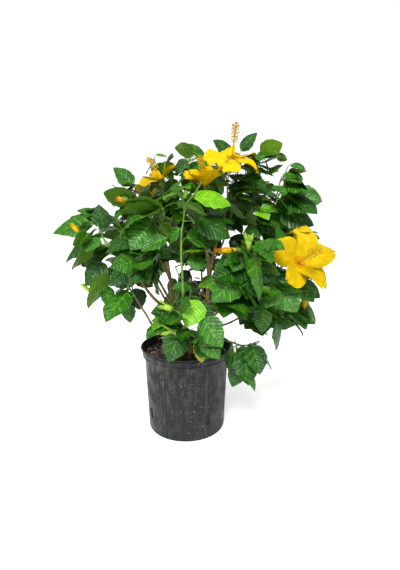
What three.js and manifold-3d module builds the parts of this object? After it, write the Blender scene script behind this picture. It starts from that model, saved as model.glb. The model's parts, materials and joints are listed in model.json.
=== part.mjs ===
// A tropical hibiscus shrub in bloom, growing in its round nursery pot.
// Millimetres, +Z up, X to the right and Y to the back. The origin is the centre of the pot's flat
// underside. A trunk and a second stem rise from the soil and fork into boughs. Each bough ends where it
// enters a mass of leaves. Each mass grows by one seeded rule: a leader, side shoots round it, and stalked
// leaves round them all.
import * as THREE from "three";
import { mergeVertices } from "three/addons/utils/BufferGeometryUtils.js";
import Module from "manifold-3d";

const wasm = await Module();
wasm.setup();

const GAP = 0.3; // clearance between neighbouring pieces

// ---------------------------------------------------------------- pot and soil
const POT_HEIGHT = 241;
const RIM_RADIUS = 131;
const WALL_TOP_RADIUS = 119.5; // just under the rim band
const BASE_RADIUS = 110.5;
const BASE_EDGE = 4.5; // rounding between wall and underside
const WALL = 2.5;
const BAND_HEIGHT = 26; // the stiffening band under the lip
const BAND_RADIUS = 126;
const LIP_HEIGHT = 5;
const POT_SIDES = 32;
const FLUTES = 6; // shallow upright channels moulded in the wall
const FLUTE_AZIMUTH = 32; // degrees from the front (-Y) towards +X
const FLUTE_WIDTH = 12;
const FLUTE_DEPTH = 0.9;
const DRAINS = 4;
const DRAIN_WIDTH = 13;
const DRAIN_BOTTOM = 42;
const DRAIN_HEIGHT = 32;
const SOIL_TOP = 222; // level round the stems
const SOIL_HEAP = 5; // rise and fall of the soil towards the wall
const SOIL_FLAT_RADIUS = 70;

// ---------------------------------------------------------------- limbs
// A limb starts on the soil, or at a share of its parent's length, and passes the points of its path. Its
// radius runs between two values. The trunk and the second stem flare where they meet the soil.
const TRUNK_SIDES = 7;
const BOUGH_SIDES = 5;
const LIMB_STEP = 42; // between the rings of a limb
const LIMBS = [
  {
    name: "trunk",
    path: [[14, -28, SOIL_TOP + GAP], [-5, -30, 277], [-27, -34, 333], [-34, -28, 372]],
    r: [9.5, 6.8],
    flare: 1.4,
  },
  {
    name: "stem_right",
    path: [[48, 12, SOIL_TOP + GAP], [54, 2, 330], [62, 0, 400], [70, 0, 468]],
    r: [7.5, 4.8],
    flare: 1.35,
  },
  {
    name: "bough_top_left",
    parent: "trunk",
    at: 0.94,
    path: [[-46, -12, 450], [-62, -16, 566]],
    r: [5.2, 3.4],
  },
  {
    name: "bough_left",
    parent: "trunk",
    at: 0.72,
    path: [[-80, -52, 381], [-126, -70, 450], [-168, -68, 506]],
    r: [4.8, 3],
  },
  {
    name: "bough_left_low",
    parent: "trunk",
    at: 0.22,
    path: [[-73, -48, 288], [-108, -62, 348], [-132, -72, 394]],
    r: [4.2, 2.8],
  },
  {
    name: "bough_upper_left",
    parent: "bough_top_left",
    at: 0.42,
    path: [[-86, -16, 512], [-116, -22, 562]],
    r: [3.8, 2.6],
  },
  {
    name: "bough_front_left",
    parent: "trunk",
    at: 0.86,
    path: [[-46, -84, 400], [-66, -132, 456]],
    r: [4.2, 2.8],
  },
  {
    name: "bough_front",
    parent: "trunk",
    at: 0.62,
    path: [[-22, -100, 350], [-4, -182, 402]],
    r: [4.2, 2.8],
  },
  {
    name: "bough_front_low",
    parent: "trunk",
    at: 0.4,
    path: [[4, -70, 296], [12, -122, 316]],
    r: [3.8, 2.6],
  },
  {
    name: "bough_top_right",
    parent: "stem_right",
    at: 0.96,
    path: [[86, -10, 540], [108, -30, 618]],
    r: [4.4, 3],
  },
  {
    name: "bough_top_middle",
    parent: "stem_right",
    at: 0.86,
    path: [[60, -44, 500], [46, -84, 574]],
    r: [4, 2.8],
  },
  {
    name: "bough_top_back",
    parent: "stem_right",
    at: 0.76,
    path: [[58, 34, 490], [52, 66, 580]],
    r: [4, 2.8],
  },
  {
    name: "bough_upper_right",
    parent: "stem_right",
    at: 0.66,
    path: [[122, -10, 468], [184, -24, 552]],
    r: [4.2, 2.8],
  },
  {
    name: "bough_right",
    parent: "stem_right",
    at: 0.44,
    path: [[112, -44, 366], [172, -84, 424]],
    r: [4.2, 2.8],
  },
  {
    name: "bough_front_right",
    parent: "stem_right",
    at: 0.34,
    path: [[78, -70, 345], [108, -146, 402]],
    r: [4.2, 2.8],
  },
  {
    name: "bough_right_low",
    parent: "stem_right",
    at: 0.24,
    path: [[100, -20, 302], [158, -52, 338]],
    r: [3.8, 2.6],
  },
  {
    name: "bough_droop",
    parent: "stem_right",
    at: 0.14,
    path: [[86, -54, 276], [118, -100, 280]],
    r: [3.4, 2.4],
  },
  {
    name: "bough_back_left",
    parent: "trunk",
    at: 0.78,
    path: [[-66, 30, 372], [-104, 74, 432]],
    r: [4.2, 2.8],
  },
  {
    name: "bough_back",
    parent: "stem_right",
    at: 0.56,
    path: [[48, 70, 380], [44, 130, 440]],
    r: [4.2, 2.8],
  },
  {
    name: "bough_back_right",
    parent: "stem_right",
    at: 0.5,
    path: [[104, 42, 368], [150, 84, 432]],
    r: [4.2, 2.8],
  },
  {
    name: "bough_back_low",
    parent: "stem_right",
    at: 0.2,
    path: [[38, 58, 284], [32, 104, 318]],
    r: [3.8, 2.6],
  },
  {
    name: "bough_top_back_left",
    parent: "bough_top_left",
    at: 0.3,
    path: [[-58, 32, 462], [-62, 66, 540]],
    r: [3.6, 2.6],
  },
  {
    name: "bough_top_back_right",
    parent: "bough_top_back",
    at: 0.35,
    path: [[92, 46, 500], [118, 72, 560]],
    r: [3.6, 2.6],
  },
];

// ---------------------------------------------------------------- the rule of growth
const SIDE_SHOOTS = 3;
const SIDE_SHOOT_SPAN = [0.1, 0.8]; // shares of the leader between which side shoots leave it
const SIDE_SHOOT_ANGLE = 52; // degrees
const SIDE_SHOOT_RISE = 0.35; // how strongly its tip turns up
const SIDE_SHOOT_LENGTH = [0.4, 0.68]; // shares of the mass's reach
const SHOOT_TIP_RADIUS = 1.4;
const SHOOT_SIDES = 3;
const NODE_SPACING = 14; // between leaf stalks along a shoot
const NODE_TURN = 137.5; // degrees round the shoot from leaf to leaf
const STALK_LENGTH = [20, 40];
const STALK_RADIUS = 1.2;
const STALK_ANGLE = [72, 36]; // degrees between shoot and stalk, from the shoot's root to its tip
const LEAF_LENGTH = [76, 108];
const LEAF_WIDTH = 0.76; // share of the length
const LEAF_WIDEST = 0.36; // where along the blade
const LEAF_FOLD = 0.16; // rise of the margins from the midrib, as a share of the half width
const LEAF_DROOP = [12, 74]; // degrees that a blade hangs below level
const LEAF_ROLL = 26; // degrees either way about its own length
const LEAF_OUTWARD = 1.5; // how far blades face away from the middle of the crown rather than up
const TIP_LEAF_SHARE = 0.62; // size of a leaf at a shoot's tip against one at its root
const LEAF_ROOM = 3; // between the faces of two leaves
const LIMB_CLEARANCE = 2.4;
const SPACE_CLEARANCE = 1; // from a leaf to the border of its mass's space
const POT_CLEARANCE = 6;
const TRIES = [0, 115, 235, 60, 180, 300, 30, 210]; // degrees that a leaf without room is turned on
const TRY_SIZES = [1, 0.84, 0.68];
const CROWN_MIDDLE = [39, 0, 430];

// Places where the crown stays open, each a middle and a radius: beside the foremost shoot, before the foot
// of the trunk, before the forks of the left boughs, and round the crown's upper left and lower right.
const GLADES = [
  [[2, -262, 455], 24],
  [[3, -262, 500], 24],
  [[4, -262, 545], 24],
  [[6, -262, 590], 24],
  [[0, -130, 300], 22],
  [[-1, -185, 312], 20],
  [[0, -235, 322], 20],
  [[-87, -110, 414], 26],
  [[-114, -120, 456], 26],
  [[-143, -120, 491], 26],
  [[-178, -110, 530], 22],
  [[-105, -170, 463], 24],
  [[-132, -170, 496], 24],
  [[-271, -50, 652], 40],
  [[-227, -45, 676], 34],
  [[-188, -30, 672], 32],
  [[233, -132, 229], 45],
  [[228, -132, 275], 35],
  [[-264, -100, 559], 26],
  [[-92, -30, 758], 32],
];

// ---------------------------------------------------------------- blooms
const PETALS = 5;
const PETAL_WIDTH = 0.8;
const PETAL_WIDEST = 0.6;
const PETAL_FOLD = 0.12;
const COLUMN_LENGTH = 1.12; // share of the petal's length
const COLUMN_RADIUS = 1.5;
const ANTHER_RADIUS = 4.4; // the brush of stamens near the column's tip
const CALYX_LENGTH = 17;
const CALYX_RADIUS = 5;
const FLOWER_STALK_RADIUS = 1.4;

// Masses: the limb that carries each, the middle of its space, how far it reaches, and its leader's line.
// leaves: the leaves that make its outline, each a root, a tip and degrees turned from facing the front.
// blooms: open flowers, each a throat, the way it faces, petal length, degrees of spread and of petals' turn.
// furled: buds and spent flowers, each a root, a tip and a radius.
const MASSES = [
  {
    name: "foliage_top_right",
    limb: "bough_top_right",
    centre: [146, -46, 704],
    reach: 128,
    leader: [[146, -46, 746]],
    leaves: [
      [[147, -14, 772], [190, -18, 814], 45],
      [[119, -30, 762], [73, -30, 798], 30],
      [[220, -20, 712], [256, -24, 738], 50],
    ],
    blooms: [[[117, -95, 740], [0.05, -0.5, 0.87], 70, 88]],
  },
  {
    name: "foliage_top_middle",
    limb: "bough_top_middle",
    centre: [36, -96, 684],
    reach: 131,
    leader: [[36, -106, 740]],
    leaves: [
      [[50, -26, 740], [12, -30, 790], 45],
      [[6, -58, 744], [-22, -58, 702], 30],
    ],
    blooms: [[[51, -160, 664], [-0.12, -0.2, 0.97], 58, 40]],
  },
  {
    name: "foliage_top_left",
    limb: "bough_top_left",
    centre: [-58, -34, 668],
    reach: 118,
    leader: [[-52, -40, 732]],
    blooms: [[[-57, -68, 689], [-0.42, -0.3, 0.85], 54, 62]],
  },
  {
    name: "foliage_top_back",
    limb: "bough_top_back",
    centre: [46, 92, 684],
    reach: 120,
    leader: [[48, 96, 760]],
  },
  {
    name: "foliage_top_back_left",
    limb: "bough_top_back_left",
    centre: [-84, 104, 618],
    reach: 118,
    leader: [[-100, 122, 696]],
    blooms: [[[-110, 172, 664], [-0.3, 0.7, 0.65], 66, 66]],
  },
  {
    name: "foliage_top_back_right",
    limb: "bough_top_back_right",
    centre: [162, 104, 640],
    reach: 118,
    leader: [[176, 118, 714]],
    leaves: [[[160, 112, 640], [152, 100, 572], 15]],
  },
  {
    name: "foliage_upper_left",
    limb: "bough_upper_left",
    centre: [-142, -36, 634],
    reach: 112,
    leader: [[-130, -36, 674]],
    leaves: [[[-134, -38, 683], [-184, -42, 726], 40]],
    furled: [[[-142, -60, 644], [-176, -64, 646], 9]],
  },
  {
    name: "foliage_upper_right",
    limb: "bough_upper_right",
    centre: [246, -40, 622],
    reach: 122,
    leader: [[262, -46, 690]],
    leaves: [
      [[262, -42, 674], [293, -46, 720], 48],
      [[277, -50, 654], [350, -66, 640], 20],
      [[240, -80, 618], [320, -96, 574], 50],
    ],
    furled: [[[286, -60, 669], [285, -60, 690], 4]],
  },
  {
    name: "foliage_left",
    limb: "bough_left",
    centre: [-246, -50, 562],
    reach: 122,
    leader: [[-206, -64, 540], [-226, -60, 586]],
    leaves: [
      [[-212, -48, 572], [-218, -64, 634], 0],
      [[-252, -44, 538], [-327, -40, 480], 55],
    ],
    furled: [[[-258, -50, 546], [-297, -50, 581], 8]],
  },
  {
    name: "foliage_right",
    limb: "bough_right",
    centre: [258, -126, 462],
    reach: 128,
    leader: [[230, -110, 470], [276, -114, 500]],
    leaves: [
      [[206, -152, 462], [264, -190, 380], 5],
      [[204, -118, 532], [240, -122, 486], 50],
      [[292, -122, 441], [338, -126, 402], 30],
    ],
    blooms: [[[268, -164, 492], [0.22, -0.86, 0.45], 84, 56, -24]],
    furled: [[[306, -112, 417], [301, -114, 366], 6]],
  },
  {
    name: "foliage_front_left",
    limb: "bough_front_left",
    centre: [-84, -176, 540],
    reach: 120,
    leader: [[-92, -176, 590]],
    leaves: [[[-34, -202, 552], [-88, -222, 528], 50]],
  },
  {
    name: "foliage_front",
    limb: "bough_front",
    centre: [30, -206, 560],
    reach: 120,
    leader: [[2, -226, 441], [-1, -236, 547], [6, -236, 624], [-9, -230, 650]],
    leaves: [
      [[27, -232, 636], [106, -208, 618], 60],
      [[29, -236, 587], [104, -224, 552], 60],
    ],
    furled: [[[6, -236, 636], [12, -238, 652], 4]],
  },
  {
    name: "foliage_front_right",
    limb: "bough_front_right",
    centre: [124, -206, 474],
    reach: 116,
    leader: [[140, -226, 470], [138, -226, 516]],
    leaves: [
      [[121, -236, 478], [64, -272, 424], 5],
      [[146, -232, 472], [168, -252, 422], 35],
    ],
    furled: [
      [[133, -232, 528], [70, -235, 526], 7],
      [[140, -232, 526], [143, -236, 560], 6],
    ],
  },
  {
    name: "foliage_back_left",
    limb: "bough_back_left",
    centre: [-168, 116, 494],
    reach: 122,
    leader: [[-202, 140, 556]],
    leaves: [[[-110, 104, 428], [-132, 92, 392], 5]],
  },
  {
    name: "foliage_back",
    limb: "bough_back",
    centre: [40, 208, 506],
    reach: 124,
    leader: [[40, 240, 580]],
    leaves: [[[72, 144, 550], [98, 132, 482], 16]],
    blooms: [[[70, 246, 548], [0.15, 0.75, 0.65], 66, 64]],
  },
  {
    name: "foliage_back_right",
    limb: "bough_back_right",
    centre: [224, 116, 500],
    reach: 122,
    leader: [[258, 138, 562]],
    leaves: [[[168, 112, 554], [148, 100, 480], 10]],
  },
  {
    name: "foliage_left_low",
    limb: "bough_left_low",
    centre: [-196, -84, 424],
    reach: 120,
    leader: [[-165, -76, 440], [-196, -70, 436]],
    leaves: [
      [[-206, -72, 424], [-202, -88, 370], 35],
      [[-164, -74, 384], [-200, -84, 350], 50],
      [[-204, -76, 482], [-251, -106, 430], 10],
      [[-150, -96, 462], [-184, -128, 432], 10],
      [[-138, -32, 410], [-126, -36, 350], 10],
      [[-166, -14, 402], [-184, -20, 338], 15],
      [[-152, -88, 378], [-142, -92, 328], 20],
    ],
    furled: [[[-248, -60, 402], [-277, -66, 430], 5]],
  },
  {
    name: "foliage_right_low",
    limb: "bough_right_low",
    centre: [240, -84, 356],
    reach: 114,
    leader: [[210, -86, 360], [250, -92, 380]],
    leaves: [
      [[312, -98, 380], [334, -102, 328], 55],
      [[232, -122, 336], [235, -134, 266], 40],
      [[198, -132, 376], [191, -152, 319], 8],
      [[174, -94, 374], [141, -104, 326], 10],
      [[192, -56, 340], [160, -58, 302], 15],
    ],
  },
  {
    name: "foliage_front_low",
    limb: "bough_front_low",
    centre: [10, -184, 350],
    reach: 112,
    leader: [[6, -174, 344], [-8, -204, 384]],
    leaves: [
      [[46, -224, 378], [88, -258, 320], 5],
      [[36, -212, 414], [9, -236, 358], 10],
      [[-16, -172, 323], [-36, -192, 285], 5],
      [[34, -164, 310], [44, -176, 252], 40],
    ],
    furled: [
      [[-22, -200, 390], [-54, -204, 402], 6],
      [[-7, -196, 333], [-48, -206, 341], 7],
    ],
  },
  {
    name: "foliage_back_low",
    limb: "bough_back_low",
    centre: [28, 168, 358],
    reach: 114,
    leader: [[20, 206, 390]],
    leaves: [
      [[8, 116, 438], [-30, 112, 400], 10],
      [[-36, 120, 412], [-64, 128, 366], 25],
    ],
  },
  {
    name: "foliage_droop",
    limb: "bough_droop",
    centre: [152, -132, 236],
    reach: 92,
    leader: [[148, -130, 280], [169, -140, 288], [183, -146, 297]],
    leaves: [
      [[148, -140, 243], [120, -152, 178], 8],
      [[118, -126, 268], [112, -132, 220], 60],
    ],
  },
];

// One seed for each mass, in the same order.
const SEEDS = [
  2173, 1618, 1433, 2136, 1951, 3246, 1729, 2210, 2210, 1914, 1433, 397, 1211, 1988, 2210, 1951, 656, 397,
  1877, 1803, 1914,
];

// ---------------------------------------------------------------- numbers and vectors
const V = (a) => new THREE.Vector3(...a);
const UP = new THREE.Vector3(0, 0, 1);
const FRONT = new THREE.Vector3(0, -1, 0);
const rad = THREE.MathUtils.degToRad;
const mix = (a, b, t) => a + (b - a) * t;
const spread = (range, t) => mix(range[0], range[1], t);
const move = (p, dir, d) => p.clone().addScaledVector(dir, d);
const heading = (a, b) => b.clone().sub(a).normalize();

// Numbers from 0 to 1 in a fixed order for each seed.
function seeded(seed) {
  let state = seed;
  return () => {
    state = (state * 16807) % 2147483647;
    return state / 2147483647;
  };
}

// A unit vector square to dir, turned by an angle round it.
function sideways(dir, degrees) {
  const start = Math.abs(dir.z) < 0.9 ? UP : new THREE.Vector3(1, 0, 0);
  const across = new THREE.Vector3().crossVectors(dir, start).normalize();
  return across.applyAxisAngle(dir, rad(degrees));
}

// The part of a vector that is square to dir, as a unit vector.
function squareTo(dir, v) {
  return v.clone().addScaledVector(dir, -v.dot(dir)).normalize();
}

// The place at a share of a line of points, with the way the line runs there.
function along(line, share) {
  const place = share * (line.length - 1);
  const i = Math.min(Math.floor(place), line.length - 2);
  return { point: line[i].clone().lerp(line[i + 1], place - i), dir: heading(line[i], line[i + 1]) };
}

// ---------------------------------------------------------------- solids
function toSolid(geometry) {
  const bare = new THREE.BufferGeometry().setAttribute("position", geometry.getAttribute("position"));
  bare.setIndex(geometry.index);
  const merged = mergeVertices(bare, 1e-4);
  return new wasm.Manifold(
    new wasm.Mesh({
      numProp: 3,
      vertProperties: new Float32Array(merged.attributes.position.array),
      triVerts: new Uint32Array(merged.index.array),
    }),
  );
}

function fromSolid(solid) {
  const mesh = solid.getMesh();
  const geometry = new THREE.BufferGeometry();
  geometry.setAttribute("position", new THREE.BufferAttribute(new Float32Array(mesh.vertProperties), 3));
  geometry.setIndex(new THREE.BufferAttribute(new Uint32Array(mesh.triVerts), 1));
  geometry.computeVertexNormals();
  return geometry;
}

// The largest body of a solid, without loose scraps.
function mainBody(solid) {
  return solid.decompose().reduce((best, part) => (part.volume() > best.volume() ? part : best));
}

function join(solids) {
  return solids.reduce((all, solid) => all.add(solid));
}

// Whether every edge still has two faces once vertices a hair apart are one.
function staysClosed(solid) {
  const { vertProperties, triVerts } = solid.getMesh();
  const same = (v) => [0, 1, 2].map((k) => Math.round(vertProperties[3 * v + k] * 1000)).join();
  const edges = new Map();
  for (let i = 0; i < triVerts.length; i += 3) {
    const corners = [0, 1, 2].map((k) => same(triVerts[i + k]));
    if (new Set(corners).size < 3) continue;
    corners.forEach((corner, k) => {
      const edge = [corner, corners[(k + 1) % 3]].sort().join(" ");
      edges.set(edge, (edges.get(edge) ?? 0) + 1);
    });
  }
  return [...edges.values()].every((count) => count === 2);
}

// A fused body without the needless vertices of its joins.
function tidied(solid) {
  const whole = solid.asOriginal();
  const tries = [0.03, 0.02, 0.04, 0.012, 0.06, 0.006].map((far) => mainBody(whole.simplify(far)));
  return tries.find(staysClosed) ?? solid;
}

function geometryOf(points, faces) {
  const geometry = new THREE.BufferGeometry();
  const coordinates = points.flatMap((p) => [p.x, p.y, p.z]);
  geometry.setAttribute("position", new THREE.Float32BufferAttribute(coordinates, 3));
  geometry.setIndex(faces.flat());
  return geometry;
}

// A closed tapering tube along points, cut flat at each end.
function taperedTube(points, radii, sides) {
  const rings = [];
  let across = null;
  points.forEach((p, i) => {
    const dir = heading(points[Math.max(i - 1, 0)], points[Math.min(i + 1, points.length - 1)]);
    across = across ? squareTo(dir, across) : sideways(dir, 0);
    const third = new THREE.Vector3().crossVectors(dir, across);
    for (let s = 0; s < sides; s++) {
      const turn = (2 * Math.PI * s) / sides;
      rings.push(move(move(p, across, radii[i] * Math.cos(turn)), third, radii[i] * Math.sin(turn)));
    }
  });
  const faces = [];
  for (let i = 0; i + 1 < points.length; i++) {
    for (let s = 0; s < sides; s++) {
      const a = i * sides + s;
      const b = i * sides + ((s + 1) % sides);
      faces.push([a, b, a + sides], [b, b + sides, a + sides]);
    }
  }
  const last = (points.length - 1) * sides;
  for (let s = 1; s + 1 < sides; s++) {
    faces.push([0, s + 1, s], [last, last + s, last + s + 1]);
  }
  return toSolid(geometryOf(rings, faces));
}

// ---------------------------------------------------------------- pot and soil
function wallRadius(z) {
  return mix(BASE_RADIUS, WALL_TOP_RADIUS, (z - BASE_EDGE) / (POT_HEIGHT - BAND_HEIGHT - BASE_EDGE));
}

// A bar that cuts a given depth into the wall at an azimuth, between two heights, along the wall's slope.
function wallBar(azimuth, width, low, high, depth) {
  const outside = 12;
  const shape = new THREE.Shape([
    new THREE.Vector2(wallRadius(low) - depth, low),
    new THREE.Vector2(wallRadius(low) + outside, low),
    new THREE.Vector2(wallRadius(high) + outside, high),
    new THREE.Vector2(wallRadius(high) - depth, high),
  ]);
  const bar = new THREE.ExtrudeGeometry(shape, { depth: width, bevelEnabled: false });
  bar.translate(0, 0, -width / 2).rotateX(Math.PI / 2).rotateZ(rad(azimuth - 90));
  return toSolid(bar);
}

function potSolid() {
  const bandBottom = POT_HEIGHT - BAND_HEIGHT;
  const lipBottom = POT_HEIGHT - LIP_HEIGHT;
  const profile = [
    [0, 0],
    [BASE_RADIUS - BASE_EDGE, 0],
    [BASE_RADIUS - BASE_EDGE * 0.3, BASE_EDGE * 0.3],
    [BASE_RADIUS, BASE_EDGE],
    [wallRadius(bandBottom - 8), bandBottom - 8],
    [BAND_RADIUS - 1, bandBottom],
    [BAND_RADIUS, bandBottom + BAND_HEIGHT * 0.46],
    [BAND_RADIUS + 1, bandBottom + BAND_HEIGHT * 0.54],
    [BAND_RADIUS + 1, lipBottom - 1],
    [RIM_RADIUS, lipBottom + 1],
    [RIM_RADIUS - 1, POT_HEIGHT],
    [RIM_RADIUS - LIP_HEIGHT, POT_HEIGHT],
    [BAND_RADIUS - WALL, lipBottom],
    [BAND_RADIUS - WALL - 1, bandBottom],
    [wallRadius(bandBottom - 8) - WALL, bandBottom - 8],
    [BASE_RADIUS - WALL, BASE_EDGE + WALL],
    [BASE_RADIUS - BASE_EDGE, WALL],
    [0, WALL],
  ];
  // a lathe turns round Y, so it is stood up along Z
  const turned = new THREE.LatheGeometry(profile.map(([r, z]) => new THREE.Vector2(r, z)), POT_SIDES);
  let pot = toSolid(turned.rotateX(Math.PI / 2));
  for (let i = 0; i < FLUTES; i++) {
    const azimuth = FLUTE_AZIMUTH + (360 * i) / FLUTES;
    pot = pot.subtract(wallBar(azimuth, FLUTE_WIDTH, BASE_EDGE, bandBottom - 14, FLUTE_DEPTH));
  }
  for (let i = 0; i < DRAINS; i++) {
    const azimuth = FLUTE_AZIMUTH + (360 * i) / DRAINS;
    pot = pot.subtract(wallBar(azimuth, DRAIN_WIDTH, DRAIN_BOTTOM, DRAIN_BOTTOM + DRAIN_HEIGHT, WALL * 2));
  }
  return mainBody(pot);
}

// The soil fills the pot clear of its wall, with a lumpy top that is level round the stems.
function soilSolid() {
  const rand = seeded(4021);
  const flat = Math.cos(Math.PI / POT_SIDES); // the pot's inside is flat-sided
  const innerRadius = (z) => (wallRadius(z) - WALL) * flat - GAP;
  const points = [];
  const ring = (radius, height) => {
    for (let s = 0; s < POT_SIDES; s++) {
      const turn = (2 * Math.PI * s) / POT_SIDES;
      points.push(new THREE.Vector3(radius * Math.cos(turn), radius * Math.sin(turn), height()));
    }
  };
  const foot = BASE_EDGE + WALL + 2;
  const brim = POT_HEIGHT - BAND_HEIGHT - 8;
  ring(BASE_RADIUS - BASE_EDGE - 4, () => WALL + GAP);
  ring(innerRadius(foot), () => foot);
  ring(innerRadius(brim), () => brim);
  const topRadius = innerRadius(brim) + 2;
  const lumpy = () => SOIL_TOP + (rand() - 0.45) * SOIL_HEAP;
  for (const share of [1, 0.92, 0.78]) ring(topRadius * share, lumpy);
  ring(SOIL_FLAT_RADIUS, () => SOIL_TOP);
  const rings = points.length / POT_SIDES;
  points.push(new THREE.Vector3(0, 0, WALL + GAP), new THREE.Vector3(0, 0, SOIL_TOP));
  const [bottom, top] = [points.length - 2, points.length - 1];
  const faces = [];
  for (let s = 0; s < POT_SIDES; s++) {
    const t = (s + 1) % POT_SIDES;
    faces.push([bottom, t, s]);
    for (let i = 0; i + 1 < rings; i++) {
      const low = i * POT_SIDES;
      const high = low + POT_SIDES;
      faces.push([low + s, low + t, high + s], [low + t, high + t, high + s]);
    }
    faces.push([top, (rings - 1) * POT_SIDES + s, (rings - 1) * POT_SIDES + t]);
  }
  return toSolid(geometryOf(points, faces));
}

// ---------------------------------------------------------------- limbs
// Centre line and radii of every limb, by name.
function traceLimbs() {
  const limbs = new Map();
  for (const limb of LIMBS) {
    const points = limb.path.map(V);
    if (limb.parent) points.unshift(limbs.get(limb.parent).curve.getPoint(limb.at));
    const curve = new THREE.CatmullRomCurve3(points, false, "centripetal");
    const steps = Math.max(4, Math.round(curve.getLength() / LIMB_STEP));
    const line = curve.getPoints(steps);
    const radii = line.map((_, i) => mix(limb.r[0], limb.r[1], i / steps));
    if (limb.flare) {
      // the flare ends a third of the way to the next ring
      line.splice(1, 0, line[0].clone().lerp(line[1], 0.33));
      radii.splice(1, 0, radii[0] * 1.04);
      radii[0] *= limb.flare;
    }
    limbs.set(limb.name, { ...limb, curve, line, radii });
  }
  return limbs;
}

// Each limb is cut clear of the limbs before it, so that a bough fits its parent with a small gap.
function limbSolids(limbs) {
  const solids = new Map();
  const taken = [];
  for (const limb of limbs.values()) {
    const { line, radii } = limb;
    const sides = limb.parent ? BOUGH_SIDES : TRUNK_SIDES;
    let solid = taperedTube(line, radii, sides);
    if (limb.flare) {
      const foot = line[0];
      const below = new THREE.BoxGeometry(90, 90, 40).translate(foot.x, foot.y, foot.z - 20);
      solid = solid.subtract(toSolid(below));
    }
    for (const other of taken) solid = solid.subtract(other);
    solids.set(limb.name, mainBody(solid));
    const wider = radii.map((r) => r + GAP * 1.2);
    const longer = [...line.slice(0, -1), move(line.at(-1), heading(line.at(-2), line.at(-1)), GAP * 0.9)];
    taken.push(taperedTube(longer, wider, sides));
  }
  return { solids, taken };
}

// ---------------------------------------------------------------- room
// A mass's space lies within its reach, nearer to it than to any other mass, and clear of the pot.
function inSpace(mass, p) {
  const own = p.distanceToSquared(mass.middle) - mass.reach ** 2;
  if (own > 0) return false;
  if (p.z < POT_HEIGHT + POT_CLEARANCE && Math.hypot(p.x, p.y) < RIM_RADIUS + POT_CLEARANCE) return false;
  return MASSES.every((other) => {
    if (other === mass) return true;
    const apart = other.middle.distanceTo(mass.middle);
    return p.distanceToSquared(other.middle) - other.reach ** 2 > own + 2 * SPACE_CLEARANCE * apart;
  });
}

// Clear of every limb, and of the leaders of the other masses.
function clearOfLimbs(limbs, p, room, mass) {
  const leaders = MASSES.filter((other) => other !== mass).map((other) => other.leaderLimb);
  for (const { line, radii } of [...limbs.values(), ...leaders]) {
    for (let i = 0; i + 1 < line.length; i++) {
      const run = line[i + 1].clone().sub(line[i]);
      const t = THREE.MathUtils.clamp(p.clone().sub(line[i]).dot(run) / run.lengthSq(), 0, 1);
      if (p.distanceTo(move(line[i], run, t)) < mix(radii[i], radii[i + 1], t) + room) return false;
    }
  }
  return true;
}

// The petals of a bloom, spread round the way it faces.
function petalsOf([throatAt, faceWay, size, spreadAngle, turn = 0]) {
  const throat = V(throatAt);
  const face = V(faceWay).normalize();
  return Array.from({ length: PETALS }, (_, i) => {
    const out = sideways(face, (360 * i) / PETALS + turn);
    const angle = rad(spreadAngle);
    const dir = face.clone().multiplyScalar(Math.cos(angle)).addScaledVector(out, Math.sin(angle));
    const normal = squareTo(dir, face.clone().addScaledVector(out, -0.5));
    const shape = { width: PETAL_WIDTH, widest: PETAL_WIDEST, fold: PETAL_FOLD };
    const [foot, root] = [move(throat, dir, -3), move(throat, dir, 2)];
    const petal = { foot, root, dir, normal, length: size, ...shape };
    petal.samples = bladeSamples(petal);
    return petal;
  });
}

// The line of a bloom's column.
function columnOf([throatAt, faceWay, size]) {
  const throat = V(throatAt);
  return [throat, move(throat, V(faceWay).normalize(), size * COLUMN_LENGTH)];
}

// No leaf hangs before the face of a bloom, or hides one of the front.
function clearOfBlooms(p) {
  return MASSES.every((mass) =>
    (mass.blooms ?? []).every(([throat, face, size]) => {
      const from = p.clone().sub(V(throat));
      const facing = V(face).normalize();
      const outward = new THREE.Vector3(facing.x, facing.y, facing.z * 0.25).normalize();
      const ways = facing.y < 0 ? [facing, outward, FRONT] : [facing, outward];
      if (from.length() < size * 0.36) return false;
      return ways.every((dir) => {
        const ahead = from.dot(dir);
        const aside = Math.sqrt(Math.max(from.lengthSq() - ahead ** 2, 0));
        return ahead < 0 || ahead > size * 2 || aside > size * 0.6;
      });
    }),
  );
}

function clearOfGlades(p) {
  return GLADES.every(([middle, radius]) => p.distanceTo(V(middle)) > radius);
}

// The corners of a blade, with its middle and the way across it.
function bladeCorners(blade) {
  const across = new THREE.Vector3().crossVectors(blade.dir, blade.normal);
  const half = (blade.length * blade.width) / 2;
  const middle = move(blade.root, blade.dir, blade.length * blade.widest);
  const margin = move(middle, blade.normal, half * blade.fold);
  return {
    right: move(margin, across, half),
    left: move(margin, across, -half),
    tip: move(blade.root, blade.dir, blade.length),
    across,
    middle,
  };
}

function bladeSamples(blade) {
  const c = bladeCorners(blade);
  const edges = [[blade.root, c.right], [blade.root, c.left], [c.right, c.tip], [c.left, c.tip]];
  edges.push([blade.root, c.tip], [c.middle, c.right], [c.middle, c.left]);
  const samples = [c.right, c.left, c.tip];
  for (const [a, b] of edges) {
    for (const t of [0.25, 0.5, 0.75]) samples.push(a.clone().lerp(b, t));
  }
  return samples;
}

// Whether any of the points comes near the blade of a leaf.
function crosses(leaf, points) {
  const across = new THREE.Vector3().crossVectors(leaf.dir, leaf.normal);
  const half = (leaf.length * leaf.width) / 2;
  return points.some((p) => {
    const from = p.clone().sub(leaf.root);
    const share = from.dot(leaf.dir) / leaf.length;
    const taper = share < leaf.widest ? share / leaf.widest : (1 - share) / (1 - leaf.widest);
    if (taper < -0.05 || Math.abs(from.dot(across)) > half * taper + LEAF_ROOM) return false;
    return Math.abs(from.dot(leaf.normal)) < LEAF_ROOM;
  });
}

// Points close together along lines, for the tests of room.
function pointsAlong(lines) {
  return lines.flatMap((line) => new THREE.CatmullRomCurve3(line).getSpacedPoints(20));
}

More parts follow.
